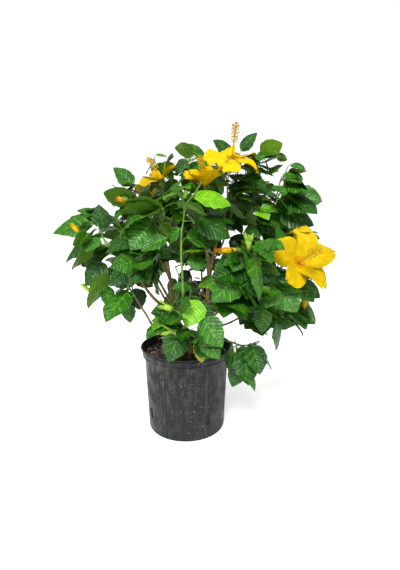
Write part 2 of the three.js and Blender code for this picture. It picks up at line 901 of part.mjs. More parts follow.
// Whether a leaf fits. One that makes the outline may stand in a glade or before a bloom.
function hasRoom(mass, limbs, leaf, leaves, outline = false) {
  const samples = bladeSamples(leaf);
  for (const t of [0.35, 0.6, 0.85, 1]) samples.push(leaf.foot.clone().lerp(leaf.root, t));
  leaf.samples = samples;
  const blades = [...leaves, ...petals];
  if (blades.some((other) => crosses(other, samples) || crosses(leaf, other.samples))) return false;
  if (crosses(leaf, mass.shootPoints) || crosses(leaf, limbs.points)) return false;
  const open = (p) => outline || (clearOfBlooms(p) && clearOfGlades(p));
  return samples.every((p) => inSpace(mass, p) && open(p) && clearOfLimbs(limbs, p, LIMB_CLEARANCE, mass));
}

// ---------------------------------------------------------------- growth
function leafOf(foot, root, dir, normal, length) {
  const shape = { width: LEAF_WIDTH, widest: LEAF_WIDEST, fold: LEAF_FOLD };
  return { foot, root, dir, normal, length, ...shape };
}

// A leaf at a share along a shoot, or null where it finds no room. It always draws five numbers.
function growLeaf(mass, limbs, shoot, share, index, rand, leaves) {
  const draws = [rand(), rand(), rand(), rand(), rand()];
  const { point: foot, dir: shootDir } = along(shoot.line, share);
  const outward = foot.clone().sub(V(CROWN_MIDDLE)).normalize();
  const angle = rad(spread(STALK_ANGLE, share));
  for (const size of TRY_SIZES) {
    const length = size * spread(LEAF_LENGTH, draws[0]) * mix(1, TIP_LEAF_SHARE, share ** 2);
    for (const more of TRIES) {
      const out = sideways(shootDir, index * NODE_TURN + (draws[4] - 0.5) * 40 + more);
      const stalk = shootDir.clone().multiplyScalar(Math.cos(angle)).addScaledVector(out, Math.sin(angle));
      stalk.addScaledVector(UP, 0.12).normalize();
      const root = move(foot, stalk, size * spread(STALK_LENGTH, draws[1]) * mix(1, 0.7, share));
      const level = new THREE.Vector3(stalk.x + outward.x * 0.4, stalk.y + outward.y * 0.4, 0).normalize();
      const fall = rad(spread(LEAF_DROOP, draws[2]) - 30 * share);
      const dir = level.multiplyScalar(Math.cos(fall)).addScaledVector(UP, -Math.sin(fall));
      const normal = squareTo(dir, UP.clone().addScaledVector(outward, LEAF_OUTWARD));
      normal.applyAxisAngle(dir, rad((draws[3] - 0.5) * 2 * LEAF_ROLL));
      const leaf = leafOf(foot, root, dir, normal, length);
      if (hasRoom(mass, limbs, leaf, leaves)) return leaf;
    }
  }
  return null;
}

// The nearest place on any shoot, for the stalk of a leaf or flower that is given by its place.
function nearestFoot(shoots, p) {
  let best = null;
  for (const shoot of shoots) {
    for (let share = 0.1; share <= 1.001; share += 0.05) {
      const foot = along(shoot.line, Math.min(share, 0.99)).point;
      if (!best || foot.distanceTo(p) < best.distanceTo(p)) best = foot;
    }
  }
  return best;
}

// A leaf of the outline, by its root, its tip and how far it is turned from facing the front.
function outlineLeaf(shoots, [rootAt, tipAt, turned]) {
  const root = V(rootAt);
  const dir = heading(root, V(tipAt));
  const facing = squareTo(dir, FRONT);
  const turns = [turned, -turned];
  const [one, other] = turns.map((degrees) => facing.clone().applyAxisAngle(dir, rad(degrees)));
  const normal = one.z > other.z ? one : other;
  return leafOf(nearestFoot(shoots, root), root, dir, normal, root.distanceTo(V(tipAt)));
}

// The best of a few side shoots at a share of the leader: the longest that stays in the mass's space.
function growShoot(mass, limbs, leader, share, index, rand, blades) {
  const turn = rand();
  const reach = rand();
  const { point: foot, dir } = along(leader, share);
  for (const shorter of [1, 0.75, 0.5]) {
    for (const more of [0, 90, 180, 270]) {
      const out = sideways(dir, index * NODE_TURN + (turn - 0.5) * 50 + more);
      const way = dir.clone().multiplyScalar(Math.cos(rad(SIDE_SHOOT_ANGLE)));
      way.addScaledVector(out, Math.sin(rad(SIDE_SHOOT_ANGLE)));
      const length = mass.reach * spread(SIDE_SHOOT_LENGTH, reach) * shorter;
      const rising = way.clone().addScaledVector(UP, SIDE_SHOOT_RISE).normalize();
      const [bend, tip] = [move(foot, way, length / 2), move(foot, rising, length)];
      const line = new THREE.QuadraticBezierCurve3(foot, bend, tip).getPoints(3);
      const room = LIMB_CLEARANCE + 1;
      const free = line.slice(1).every((p) => inSpace(mass, p) && clearOfLimbs(limbs, p, room, mass));
      if (free && !blades.some((blade) => crosses(blade, pointsAlong([line])))) return line;
    }
  }
  return null;
}

// The leader sets off from its limb's tip, as thick as the limb and in line with it.
function traceLeader(mass, limb) {
  const tip = limb.line.at(-1);
  const onward = heading(limb.line.at(-2), tip);
  const start = move(tip, onward, GAP);
  const path = [start, move(start, onward, 14), ...mass.leader.map(V)];
  const steps = 3 + 2 * mass.leader.length;
  const line = new THREE.CatmullRomCurve3(path, false, "centripetal").getPoints(steps);
  return { line, radii: line.map((_, i) => mix(limb.radii.at(-1), SHOOT_TIP_RADIUS, i / steps)) };
}

function growMass(mass, limbs) {
  const rand = seeded(mass.seed);
  const { line: leader, radii } = mass.leaderLimb;
  const shoots = [{ line: leader, thick: radii[0], from: 0.14 }];
  const blades = (mass.leaves ?? []).map((row) => outlineLeaf(shoots, row));
  for (let k = 0; k < SIDE_SHOOTS; k++) {
    const share = spread(SIDE_SHOOT_SPAN, k / (SIDE_SHOOTS - 1));
    const line = growShoot(mass, limbs, leader, share, k, rand, blades);
    if (line) shoots.push({ line, thick: mix(radii[0], SHOOT_TIP_RADIUS, share) * 0.85, from: 0.3 });
  }
  mass.shootPoints = [];
  const leaves = [];
  for (const row of mass.leaves ?? []) {
    const leaf = outlineLeaf(shoots, row);
    if (hasRoom(mass, limbs, leaf, leaves, true)) leaves.push(leaf);
  }
  mass.shootPoints = pointsAlong(shoots.map(({ line }) => line));
  for (const shoot of shoots) {
    const length = new THREE.CatmullRomCurve3(shoot.line).getLength() * (1 - shoot.from);
    const nodes = Math.max(2, Math.round(length / NODE_SPACING));
    for (let n = 0; n <= nodes; n++) {
      const share = mix(shoot.from, 0.985, n / nodes);
      const leaf = growLeaf(mass, limbs, shoot, share, n, rand, leaves);
      if (leaf) leaves.push(leaf);
    }
  }
  return { shoots, leaves };
}

// ---------------------------------------------------------------- leaves and flowers as solids
// A folded blade that thins from its root to its margins and tip, in one with its three-sided stalk.
function bladeSolid(blade) {
  const c = bladeCorners(blade);
  const ring = (p) => [
    move(move(p, c.across, -STALK_RADIUS), blade.normal, STALK_RADIUS * 0.6),
    move(move(p, c.across, STALK_RADIUS), blade.normal, STALK_RADIUS * 0.6),
    move(p, blade.normal, -STALK_RADIUS),
  ];
  const points = [...ring(blade.foot), ...ring(blade.root), c.right, c.tip, c.left];
  const [right, tip, left] = [6, 7, 8];
  const faces = [
    [0, 2, 1],
    [0, 1, 3], [1, 4, 3],
    [1, 2, 4], [2, 5, 4],
    [2, 0, 5], [0, 3, 5],
    [3, 4, tip], [4, right, tip], [3, tip, left],
    [4, 5, right], [5, tip, right], [5, left, tip], [5, 3, left],
  ];
  return toSolid(geometryOf(points, faces));
}

// A three-sided stalk of even thickness.
function stalkSolid(points) {
  return taperedTube(points, points.map(() => FLOWER_STALK_RADIUS), SHOOT_SIDES);
}

function bloomSolid(shoots, bloom) {
  const [throatAt, faceWay, size] = bloom;
  const throat = V(throatAt);
  const face = V(faceWay).normalize();
  const back = move(throat, face, -CALYX_LENGTH);
  const foot = nearestFoot(shoots, back);
  const stalkEnd = move(back, face, 2);
  const knee = foot.clone().lerp(back, 0.6).addScaledVector(face, -4);
  const parts = [stalkSolid([foot, knee, stalkEnd])];
  parts.push(taperedTube([back, move(throat, face, 3)], [FLOWER_STALK_RADIUS + 0.6, CALYX_RADIUS], PETALS));
  const column = [-0.06, 0.62, 0.8, 1].map((share) => move(throat, face, size * COLUMN_LENGTH * share));
  parts.push(taperedTube(column, [COLUMN_RADIUS, COLUMN_RADIUS, ANTHER_RADIUS, COLUMN_RADIUS], PETALS));
  return join([...parts, ...petalsOf(bloom).map(bladeSolid)]);
}

// A bud or a spent flower: a spindle on a bent stalk.
function furledSolid(shoots, [rootAt, tipAt, radius]) {
  const root = V(rootAt);
  const tip = V(tipAt);
  const dir = heading(root, tip);
  const foot = nearestFoot(shoots, root);
  const knee = foot.clone().lerp(root, 0.7).addScaledVector(dir, -5);
  const line = [0, 0.25, 0.7, 1].map((t) => root.clone().lerp(tip, t));
  const spindle = taperedTube(line, [1.8, radius, radius * 0.8, 1], PETALS);
  return join([stalkSolid([foot, knee, move(root, dir, 2)]), spindle]);
}

function massSolid(mass, limbs, taken) {
  const { shoots, leaves } = growMass(mass, limbs);
  const parts = shoots.map(({ line, thick }) => {
    const radii = line.map((_, i) => mix(thick, SHOOT_TIP_RADIUS, i / (line.length - 1)));
    return taperedTube(line, radii, SHOOT_SIDES);
  });
  for (const leaf of leaves) parts.push(bladeSolid(leaf));
  for (const bloom of mass.blooms ?? []) parts.push(bloomSolid(shoots, bloom));
  for (const furled of mass.furled ?? []) parts.push(furledSolid(shoots, furled));
  let solid = join(parts);
  for (const limb of taken) solid = solid.subtract(limb);
  return tidied(mainBody(solid));
}

// ---------------------------------------------------------------- the shrub
const shrub = new THREE.Group();
shrub.name = "hibiscus_shrub";

function place(name, solid, material) {
  const mesh = new THREE.Mesh(fromSolid(solid), material);
  mesh.name = name;
  shrub.add(mesh);
}

const plastic = new THREE.MeshStandardMaterial({ color: 0x34373a, roughness: 0.7 });
const soil = new THREE.MeshStandardMaterial({ color: 0x2c211a, roughness: 1 });
const bark = new THREE.MeshStandardMaterial({ color: 0x8a6a48, roughness: 0.9 });
const greenery = new THREE.MeshStandardMaterial({ color: 0x2f6b22, roughness: 0.55 });

MASSES.forEach((mass, i) => {
  mass.middle = V(mass.centre);
  mass.seed = SEEDS[i];
});

place("pot", potSolid(), plastic);
place("soil", soilSolid(), soil);
const limbs = traceLimbs();
for (const mass of MASSES) mass.leaderLimb = traceLeader(mass, limbs.get(mass.limb));
const blooms = MASSES.flatMap((mass) => mass.blooms ?? []);
const petals = blooms.flatMap(petalsOf);
const lines = [...limbs.values(), ...MASSES.map((mass) => mass.leaderLimb)].map(({ line }) => line);
limbs.points = pointsAlong([...lines, ...blooms.map(columnOf)]);
const { solids, taken } = limbSolids(limbs);
for (const [name, solid] of solids) place(name, solid, bark);
for (const mass of MASSES) place(mass.name, massSolid(mass, limbs, taken), greenery);

export default shrub;
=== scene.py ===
import json
import math

import bpy
import numpy as np
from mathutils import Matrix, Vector

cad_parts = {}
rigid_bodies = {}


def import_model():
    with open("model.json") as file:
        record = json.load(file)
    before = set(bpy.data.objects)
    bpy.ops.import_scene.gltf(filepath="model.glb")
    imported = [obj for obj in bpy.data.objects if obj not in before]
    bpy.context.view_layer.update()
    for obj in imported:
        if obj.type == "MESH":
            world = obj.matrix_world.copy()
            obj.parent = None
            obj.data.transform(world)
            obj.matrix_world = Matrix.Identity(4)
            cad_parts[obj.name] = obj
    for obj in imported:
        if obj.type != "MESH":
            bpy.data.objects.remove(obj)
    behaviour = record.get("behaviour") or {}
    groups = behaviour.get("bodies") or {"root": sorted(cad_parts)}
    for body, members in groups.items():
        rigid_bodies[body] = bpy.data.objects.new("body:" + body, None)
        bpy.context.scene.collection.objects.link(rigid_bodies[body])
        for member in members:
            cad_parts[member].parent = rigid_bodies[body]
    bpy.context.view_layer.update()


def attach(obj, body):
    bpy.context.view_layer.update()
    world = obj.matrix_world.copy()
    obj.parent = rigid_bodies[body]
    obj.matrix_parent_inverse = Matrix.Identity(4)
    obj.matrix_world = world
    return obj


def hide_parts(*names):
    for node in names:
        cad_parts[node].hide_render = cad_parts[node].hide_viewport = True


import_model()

# The growth is worked out in millimetres, as in the part's source, and meshes are in metres.
MM = 0.001
GAP = 0.3  # between neighbouring solids

# ---------------------------------------------------------------- camera and studio
PICTURE = (400, 570)
FOCAL = 359  # in pixels of the picture
SENSOR = 36
CAMERA_PLACE = (0.0393, -1.0, 0.580)
CAMERA_PITCH = 9.44  # degrees below level
SUN_AIM = (0.03, 0, 0.42)
# Each sun's name, place, strength and width in degrees.
SUNS = (("key", (-0.3, -1.3, 1.75), 3.9, 20), ("fill", (0.9, -1.4, 1.6), 0.9, 60))
SKY_SEEN = 1.1
SKY_CAST = 0.45
SKY_LESS_MIRRORED = 0.2
FLOOR_SIZE = 12
FLOOR_DROP = 0.0005


def set_camera():
    data = bpy.data.cameras.new("camera")
    data.sensor_width = SENSOR
    data.lens = FOCAL * SENSOR / max(PICTURE)
    camera = bpy.data.objects.new("camera", data)
    camera.location = CAMERA_PLACE
    camera.rotation_euler = (math.radians(90 - CAMERA_PITCH), 0, 0)
    bpy.context.collection.objects.link(camera)
    bpy.context.scene.camera = camera


def add_sun(name, place, strength, width):
    """A soft sun that looks at the crown."""
    data = bpy.data.lights.new(name, "SUN")
    data.energy = strength
    data.angle = math.radians(width)
    sun = bpy.data.objects.new(name, data)
    sun.location = place
    aim = Vector(SUN_AIM) - Vector(place)
    sun.rotation_euler = aim.to_track_quat("-Z", "Y").to_euler()
    bpy.context.collection.objects.link(sun)


def set_studio():
    scene = bpy.context.scene
    scene.view_settings.view_transform = "Standard"
    world = bpy.data.worlds.new("studio")
    world.use_nodes = True
    tree = world.node_tree
    backdrop = tree.nodes["Background"]
    path = add_node(tree, "LightPath").outputs
    strength = add_node(tree, "MapRange", Value=path["Is Camera Ray"], To_Min=SKY_CAST, To_Max=SKY_SEEN)
    mirrored = math_node(tree, "MULTIPLY", path["Is Glossy Ray"], SKY_LESS_MIRRORED)
    strength = math_node(tree, "SUBTRACT", strength.outputs["Result"], mirrored)
    backdrop.inputs["Color"].default_value = (1, 1, 1, 1)
    tree.links.new(strength, backdrop.inputs["Strength"])
    scene.world = world
    for sun in SUNS:
        add_sun(*sun)
    make_floor()


def make_floor():
    deselect()
    bpy.ops.mesh.primitive_plane_add(size=FLOOR_SIZE, location=(0, 0, -FLOOR_DROP))
    floor = bpy.context.object
    floor.name = "floor"
    settle(floor)
    glow = {"Emission_Color": (1, 1, 1, 1), "Emission_Strength": 0.4}
    pale = Finish("pale_floor", (0.93, 0.93, 0.93), 0.9, **glow)
    tone = pale.node("TexNoise", Vector=pale.place(), Scale=1.5)
    pale.colour(pale.blend(tone.outputs["Fac"], (0.92, 0.92, 0.92), (0.94, 0.94, 0.94)))
    dress(floor, pale.material)


# ---------------------------------------------------------------- working on meshes
MERGE_DISTANCE = 0.00005


def deselect():
    if bpy.context.object and bpy.context.object.mode != "OBJECT":
        bpy.ops.object.mode_set(mode="OBJECT")
    bpy.ops.object.select_all(action="DESELECT")


def choose(*pieces):
    deselect()
    for piece in pieces:
        piece.select_set(True)
    bpy.context.view_layer.objects.active = pieces[0]


def settle(piece):
    """Puts the piece's place, turn and scale into its mesh."""
    choose(piece)
    bpy.ops.object.transform_apply(location=True, rotation=True, scale=True)


def apply(piece, kind, **settings):
    choose(piece)
    modifier = piece.modifiers.new(kind.lower(), kind)
    for key, value in settings.items():
        setattr(modifier, key, value)
    bpy.ops.object.modifier_apply(modifier=modifier.name)


def join(pieces, name):
    choose(*pieces)
    bpy.ops.object.join()
    piece = bpy.context.object
    piece.name = name
    piece.data.name = name
    return piece


def clean(piece):
    """Merges doubles and points every face outwards."""
    choose(piece)
    bpy.ops.object.mode_set(mode="EDIT")
    bpy.ops.mesh.select_all(action="SELECT")
    bpy.ops.mesh.remove_doubles(threshold=MERGE_DISTANCE)
    bpy.ops.mesh.normals_make_consistent(inside=False)
    bpy.ops.object.mode_set(mode="OBJECT")


def smooth(piece, degrees):
    choose(piece)
    bpy.ops.object.shade_smooth_by_angle(angle=math.radians(degrees))


def dress(piece, material):
    piece.data.materials.clear()
    piece.data.materials.append(material)


def clouds(name, scale, depth=2):
    texture = bpy.data.textures.new(name, "CLOUDS")
    texture.noise_scale = scale
    texture.noise_depth = depth
    return texture


class Batch:
    """Points and faces of many small shapes that become one mesh, with places on a leaf if given."""

    def __init__(self):
        self.points = []
        self.faces = []
        self.slots = []
        self.places = []
        self.count = 0

    def add(self, points, faces, slots, places=None):
        if isinstance(slots, int):
            slots = [slots] * len(faces)
        self.points.append(np.asarray(points))
        if places is not None:
            self.places.append(places)
        self.faces.extend([tuple(i + self.count for i in face) for face in faces])
        self.slots.extend(slots)
        self.count += len(points)

    def piece(self, name, finishes):
        mesh = bpy.data.meshes.new(name)
        mesh.from_pydata(np.vstack(self.points) * MM, [], self.faces)
        for finish in finishes:
            mesh.materials.append(finish)
        mesh.polygons.foreach_set("material_index", self.slots)
        mesh.polygons.foreach_set("use_smooth", [True] * len(self.faces))
        mesh.update()
        if self.places:
            spots = mesh.attributes.new("leaf_place", "FLOAT_VECTOR", "POINT")
            spots.data.foreach_set("vector", np.vstack(self.places).ravel())
        piece = bpy.data.objects.new(name, mesh)
        bpy.context.collection.objects.link(piece)
        return piece


# ---------------------------------------------------------------- vectors and lines
UP = np.array([0.0, 0, 1])
FRONT = np.array([0.0, -1, 0])


def seeded(seed):
    state = seed

    def draw():
        nonlocal state
        state = (state * 16807) % 2147483647
        return state / 2147483647

    return draw


def mix(a, b, share):
    return a + (b - a) * share


def spread(between, share):
    return mix(between[0], between[1], share)


def vec(values):
    return np.array(values, float)


def unit(v):
    return v / math.sqrt(v @ v)


def cross(a, b):
    return vec((a[1] * b[2] - a[2] * b[1], a[2] * b[0] - a[0] * b[2], a[0] * b[1] - a[1] * b[0]))


def heading(a, b):
    return unit(b - a)


def turn_about(v, axis, degrees):
    angle = math.radians(degrees)
    c, s = math.cos(angle), math.sin(angle)
    return v * c + cross(axis, v) * s + axis * (axis @ v) * (1 - c)


def sideways(direction, degrees):
    """A unit vector square to a direction, turned by an angle round it."""
    start = UP if abs(direction[2]) < 0.9 else np.array([1.0, 0, 0])
    return turn_about(unit(cross(direction, start)), direction, degrees)


def square_to(direction, v):
    return unit(v - direction * (v @ direction))


def along(line, share):
    """The place at a share of a line of points, with the way the line runs there."""
    place = share * (len(line) - 1)
    i = min(int(place), len(line) - 2)
    return mix(line[i], line[i + 1], place - i), heading(line[i], line[i + 1])


class Curve:
    """A centripetal Catmull-Rom curve through points."""

    def __init__(self, points):
        p = [vec(q) for q in points]
        self.points = np.array([2 * p[0] - p[1], *p, 2 * p[-1] - p[-2]])
        self.spans = len(p) - 1
        self.chords = np.linalg.norm(np.diff(self.points, axis=0), axis=1) ** 0.5

    def at(self, shares):
        """The place at a share of the curve, or at each of several shares."""
        place = self.spans * np.asarray(shares, float)
        i = np.minimum(place.astype(int), self.spans - 1)
        w = (place - i)[..., None]
        p0, p1, p2, p3 = [self.points[i + k] for k in range(4)]
        d0, d1, d2 = [self.chords[i + k][..., None] for k in range(3)]
        t1 = ((p1 - p0) / d0 - (p2 - p0) / (d0 + d1) + (p2 - p1) / d1) * d1
        t2 = ((p2 - p1) / d1 - (p3 - p1) / (d1 + d2) + (p3 - p2) / d2) * d1
        c2 = -3 * p1 + 3 * p2 - 2 * t1 - t2
        c3 = 2 * p1 - 2 * p2 + t1 + t2
        return p1 + t1 * w + c2 * w * w + c3 * w**3

    def points_at(self, steps):
        return list(self.at(np.arange(steps + 1) / steps))

    def lengths(self):
        steps = np.linalg.norm(np.diff(self.points_at(200), axis=0), axis=1)
        return np.concatenate([[0], np.cumsum(steps)])

    def length(self):
        return self.lengths()[-1]

    def spaced(self, steps):
        """Points at even steps of length."""
        lengths = self.lengths()
        wanted = np.linspace(0, lengths[-1], steps + 1)
        return list(self.at(np.interp(wanted, lengths, np.linspace(0, 1, len(lengths)))))


def bent_line(start, bend, end, shares):
    """Points of a line that leaves its start towards a bend and comes from the bend to its end."""
    return [start * (1 - t) ** 2 + bend * 2 * t * (1 - t) + end * t * t for t in shares]


def tube_faces(rings, sides):
    """Faces between rings of points, one after the other, with a cap at each end."""
    faces = []
    for ring in range(rings - 1):
        for s in range(sides):
            a, b = ring * sides + s, ring * sides + (s + 1) % sides
            faces.append((a, b, b + sides, a + sides))
    last = (rings - 1) * sides
    faces.append(tuple(range(sides - 1, -1, -1)))
    faces.append(tuple(last + s for s in range(sides)))
    return faces


def tube(points, radii, sides):
    """Points and faces of a round tube along a line, tapering from ring to ring."""
    points = [vec(p) for p in points]
    rings = []
    across = None
    for i, p in enumerate(points):
        way = heading(points[max(i - 1, 0)], points[min(i + 1, len(points) - 1)])
        across = sideways(way, 0) if across is None else square_to(way, across)
        third = cross(way, across)
        for s in range(sides):
            turn = 2 * math.pi * s / sides
            rings.append(p + across * radii[i] * math.cos(turn) + third * radii[i] * math.sin(turn))
    return np.array(rings), tube_faces(len(points), sides)


# ---------------------------------------------------------------- finishes
def add_node(tree, kind, settings=(), **values):
    node = tree.nodes.new("ShaderNode" + kind)
    for key, value in dict(settings).items():
        setattr(node, key, value)
    for key, value in values.items():
        connect(tree, value, node.inputs[key.replace("_", " ")])
    return node


def connect(tree, value, socket):
    if isinstance(value, bpy.types.NodeSocket):
        tree.links.new(value, socket)
    elif isinstance(value, tuple) and len(value) == 3 and socket.type == "RGBA":
        socket.default_value = (*value, 1)
    else:
        socket.default_value = value


def blend_node(tree, share, first, second):
    node = tree.nodes.new("ShaderNodeMix")
    node.data_type = "RGBA"
    for value, index in ((share, 0), (first, 6), (second, 7)):
        connect(tree, value, node.inputs[index])
    return node.outputs[2]


def math_node(tree, operation, first, second=0.0):
    node = tree.nodes.new("ShaderNodeMath")
    node.operation = operation
    connect(tree, first, node.inputs[0])
    connect(tree, second, node.inputs[1])
    return node.outputs[0]


def new_group(name, inputs, output):
    """A node group with number and vector inputs and one output, and the two nodes at its ends."""
    group = bpy.data.node_groups.new(name, "ShaderNodeTree")
    for label, kind in inputs:
        group.interface.new_socket(label, in_out="INPUT", socket_type="NodeSocket" + kind)
    group.interface.new_socket(output, in_out="OUTPUT", socket_type="NodeSocketFloat")
    return group, group.nodes.new("NodeGroupInput"), group.nodes.new("NodeGroupOutput")


def patches_group():
    """Soft-edged patches: 0 between them and 1 inside."""
    inputs = [("Vector", "Vector"), ("Scale", "Float"), ("From", "Float"), ("To", "Float")]
    group, given, made = new_group("patches", inputs, "Mask")
    noise = add_node(group, "TexNoise", Vector=given.outputs[0], Scale=given.outputs[1], Detail=5.0)
    limits = {"From_Min": given.outputs[2], "From_Max": given.outputs[3]}
    soft = {"interpolation_type": "SMOOTHSTEP"}
    reach = add_node(group, "MapRange", soft, Value=noise.outputs["Fac"], **limits)
    connect(group, reach.outputs["Result"], made.inputs[0])
    return group


def flecks_group():
    """Small round flecks of uneven size and spacing."""
    inputs = [("Vector", "Vector"), ("Scale", "Float"), ("Size", "Float")]
    group, given, made = new_group("flecks", inputs, "Mask")
    cells = add_node(group, "TexVoronoi", Vector=given.outputs[0], Scale=given.outputs[1])
    split = add_node(group, "SeparateColor", Color=cells.outputs["Color"])
    size = math_node(group, "MULTIPLY", math_node(group, "POWER", split.outputs[0], 3.0), given.outputs[2])
    mask = math_node(group, "LESS_THAN", cells.outputs["Distance"], size)
    connect(group, mask, made.inputs[0])
    return group


# Side veins of a leaf of length 1: their slope, spacing and first place, and how round the swells are.
RIB_SLOPE = 0.65
RIB_SPACING = 0.123
RIB_START = 0.035
RIB_ROUNDNESS = 0.6


def ribs_group():
    """A leaf's relief: hollows along its side veins and swells between them, from a place on the leaf."""
    group, given, made = new_group("ribs", [("Vector", "Vector")], "Height")
    place = add_node(group, "SeparateXYZ", Vector=given.outputs[0])
    aside = math_node(group, "MULTIPLY", math_node(group, "ABSOLUTE", place.outputs["X"]), RIB_SLOPE)
    step = math_node(group, "SUBTRACT", math_node(group, "SUBTRACT", place.outputs["Y"], aside), RIB_START)
    wave = math_node(group, "SINE", math_node(group, "MULTIPLY", step, math.pi / RIB_SPACING))
    swell = math_node(group, "POWER", math_node(group, "ABSOLUTE", wave), RIB_ROUNDNESS)
    connect(group, swell, made.inputs[0])
    return group


PATCHES = patches_group()
FLECKS = flecks_group()
RIBS = ribs_group()


class Finish:
    """A material with one Principled shader, and short ways to feed it."""

    def __init__(self, name, colour, roughness=0.5, **sockets):
        self.material = bpy.data.materials.new(name)
        self.material.use_nodes = True
        self.tree = self.material.node_tree
        self.shader = self.tree.nodes["Principled BSDF"]
        self.shader.inputs["Base Color"].default_value = (*colour, 1)
        self.shader.inputs["Roughness"].default_value = roughness
        for key, value in sockets.items():
            self.shader.inputs[key.replace("_", " ")].default_value = value

    def node(self, kind, settings=(), **values):
        return add_node(self.tree, kind, settings, **values)

    def place(self, stretch=(1, 1, 1)):
        """Object coordinates, with the pattern drawn out along an axis by a stretch under 1."""
        spot = self.node("TexCoord").outputs["Object"]
        if stretch == (1, 1, 1):
            return spot
        return self.node("Mapping", Vector=spot, Scale=stretch).outputs["Vector"]

    def group(self, group, **values):
        node = self.tree.nodes.new("ShaderNodeGroup")
        node.node_tree = group
        for key, value in values.items():
            connect(self.tree, value, node.inputs[key])
        return node.outputs[0]

    def blend(self, share, first, second):
        return blend_node(self.tree, share, first, second)

    def math(self, operation, first, second=0.0):
        return math_node(self.tree, operation, first, second)

    def colour(self, socket):
        self.tree.links.new(socket, self.shader.inputs["Base Color"])

    def roughness(self, socket, low, high):
        between = self.node("MapRange", Value=socket, To_Min=low, To_Max=high)
        self.tree.links.new(between.outputs["Result"], self.shader.inputs["Roughness"])

    def bump(self, height, strength, distance):
        bump = self.node("Bump", Height=height, Strength=strength, Distance=distance)
        self.tree.links.new(bump.outputs["Normal"], self.shader.inputs["Normal"])


def plant_finish(name, colour, shade, roughness=0.4, under=None, mottle=55.0, ribbed=False, **sockets):
    """Living tissue: a colour with soft darker mottling, grain or ribs, and a paler underside if given."""
    skin = Finish(name, colour, roughness, **sockets)
    spot = skin.place()
    mask = skin.group(PATCHES, Vector=spot, Scale=mottle, From=0.35, To=0.7)
    tone = skin.blend(mask, colour, shade)
    if under:
        back = skin.node("NewGeometry").outputs["Backfacing"]
        tone = skin.blend(back, tone, under)
    skin.colour(tone)
    skin.roughness(mask, roughness - 0.06, roughness + 0.1)
    grain = skin.node("TexNoise", Vector=spot, Scale=150.0 if ribbed else 380.0, Detail=4.0).outputs["Fac"]
    if not ribbed:
        skin.bump(grain, 0.5, 0.0004)
        return skin.material
    place = skin.node("Attribute", {"attribute_name": "leaf_place"}).outputs["Vector"]
    ribs = skin.group(RIBS, Vector=place)
    skin.bump(skin.math("ADD", ribs, skin.math("MULTIPLY", grain, 1.6)), 0.8, 0.0014)
    return skin.material


# ---------------------------------------------------------------- pot and soil
POT_HEIGHT = 241
RIM_RADIUS = 131
WALL_TOP_RADIUS = 119.5
BASE_RADIUS = 110.5
BASE_EDGE = 4.5
WALL = 2.5
BAND_HEIGHT = 26
BAND_RADIUS = 126
WALL_TOP = POT_HEIGHT - BAND_HEIGHT - 8  # where the wall steps out to the band
LIP_HEIGHT = 5
POT_SIDES = 96
FLUTES = 6
FLUTE_AZIMUTH = 32  # degrees from the front towards the right
FLUTE_WIDTH = 12
FLUTE_DEPTH = 0.9
FLUTE_TOP = POT_HEIGHT - BAND_HEIGHT - 14
DRAINS = 4
DRAIN_WIDTH = 13
DRAIN_BOTTOM = 42
DRAIN_HEIGHT = 32
SOIL_TOP = 222
# Painted shade and highlight along the flutes, a dark line in each flute and a faint pale one beside it:
# offset from a flute's middle and half width in millimetres, share and colour.
FLUTE_SHADE_AND_HIGHLIGHT = ((1.0, 2.6, 0.95, (0.0, 0.0, 0.0)), (-4.5, 3.0, 0.16, (0.1, 0.11, 0.105)))
# Pale specks of three sizes: how close they are, how large, and how much they cover the plastic.
SPECKS = ((110.0, 0.2, 0.6), (230.0, 0.26, 0.5), (380.0, 0.26, 0.4))


def painted_flute_shade_and_highlight(plastic, axes, colour):
    """Painted shade as a dark line in each flute and a painted highlight as a faint pale line beside it, up
    to the band.
    """
    azimuth = plastic.math("ARCTAN2", axes.outputs["X"], plastic.math("MULTIPLY", axes.outputs["Y"], -1.0))
    below_band = plastic.math("LESS_THAN", axes.outputs["Z"], (FLUTE_TOP + 4) * MM)
    for offset, width, share, tone in FLUTE_SHADE_AND_HIGHLIGHT:
        turn = math.radians(FLUTE_AZIMUTH) + offset / WALL_TOP_RADIUS
        away = plastic.math("SUBTRACT", azimuth, turn)
        wave = plastic.math("COSINE", plastic.math("MULTIPLY", away, float(FLUTES)))
        edge = math.cos(FLUTES * width / WALL_TOP_RADIUS)
        line = plastic.node("MapRange", Value=wave, From_Min=edge, From_Max=1.0).outputs["Result"]
        line = plastic.math("MULTIPLY", line, plastic.math("MULTIPLY", below_band, share))
        colour = plastic.blend(line, colour, tone)
    return colour


def pale_specks(plastic, spot, colour):
    """Specks that lie in loose patches."""
    where = plastic.group(PATCHES, Vector=spot, Scale=12.0, From=0.36, To=0.6)
    for scale, size, share in SPECKS:
        fleck = plastic.group(FLECKS, Vector=spot, Scale=scale, Size=size)
        fleck = plastic.math("MULTIPLY", fleck, plastic.math("MULTIPLY", where, share))
        colour = plastic.blend(fleck, colour, (0.42, 0.42, 0.4))
    return colour


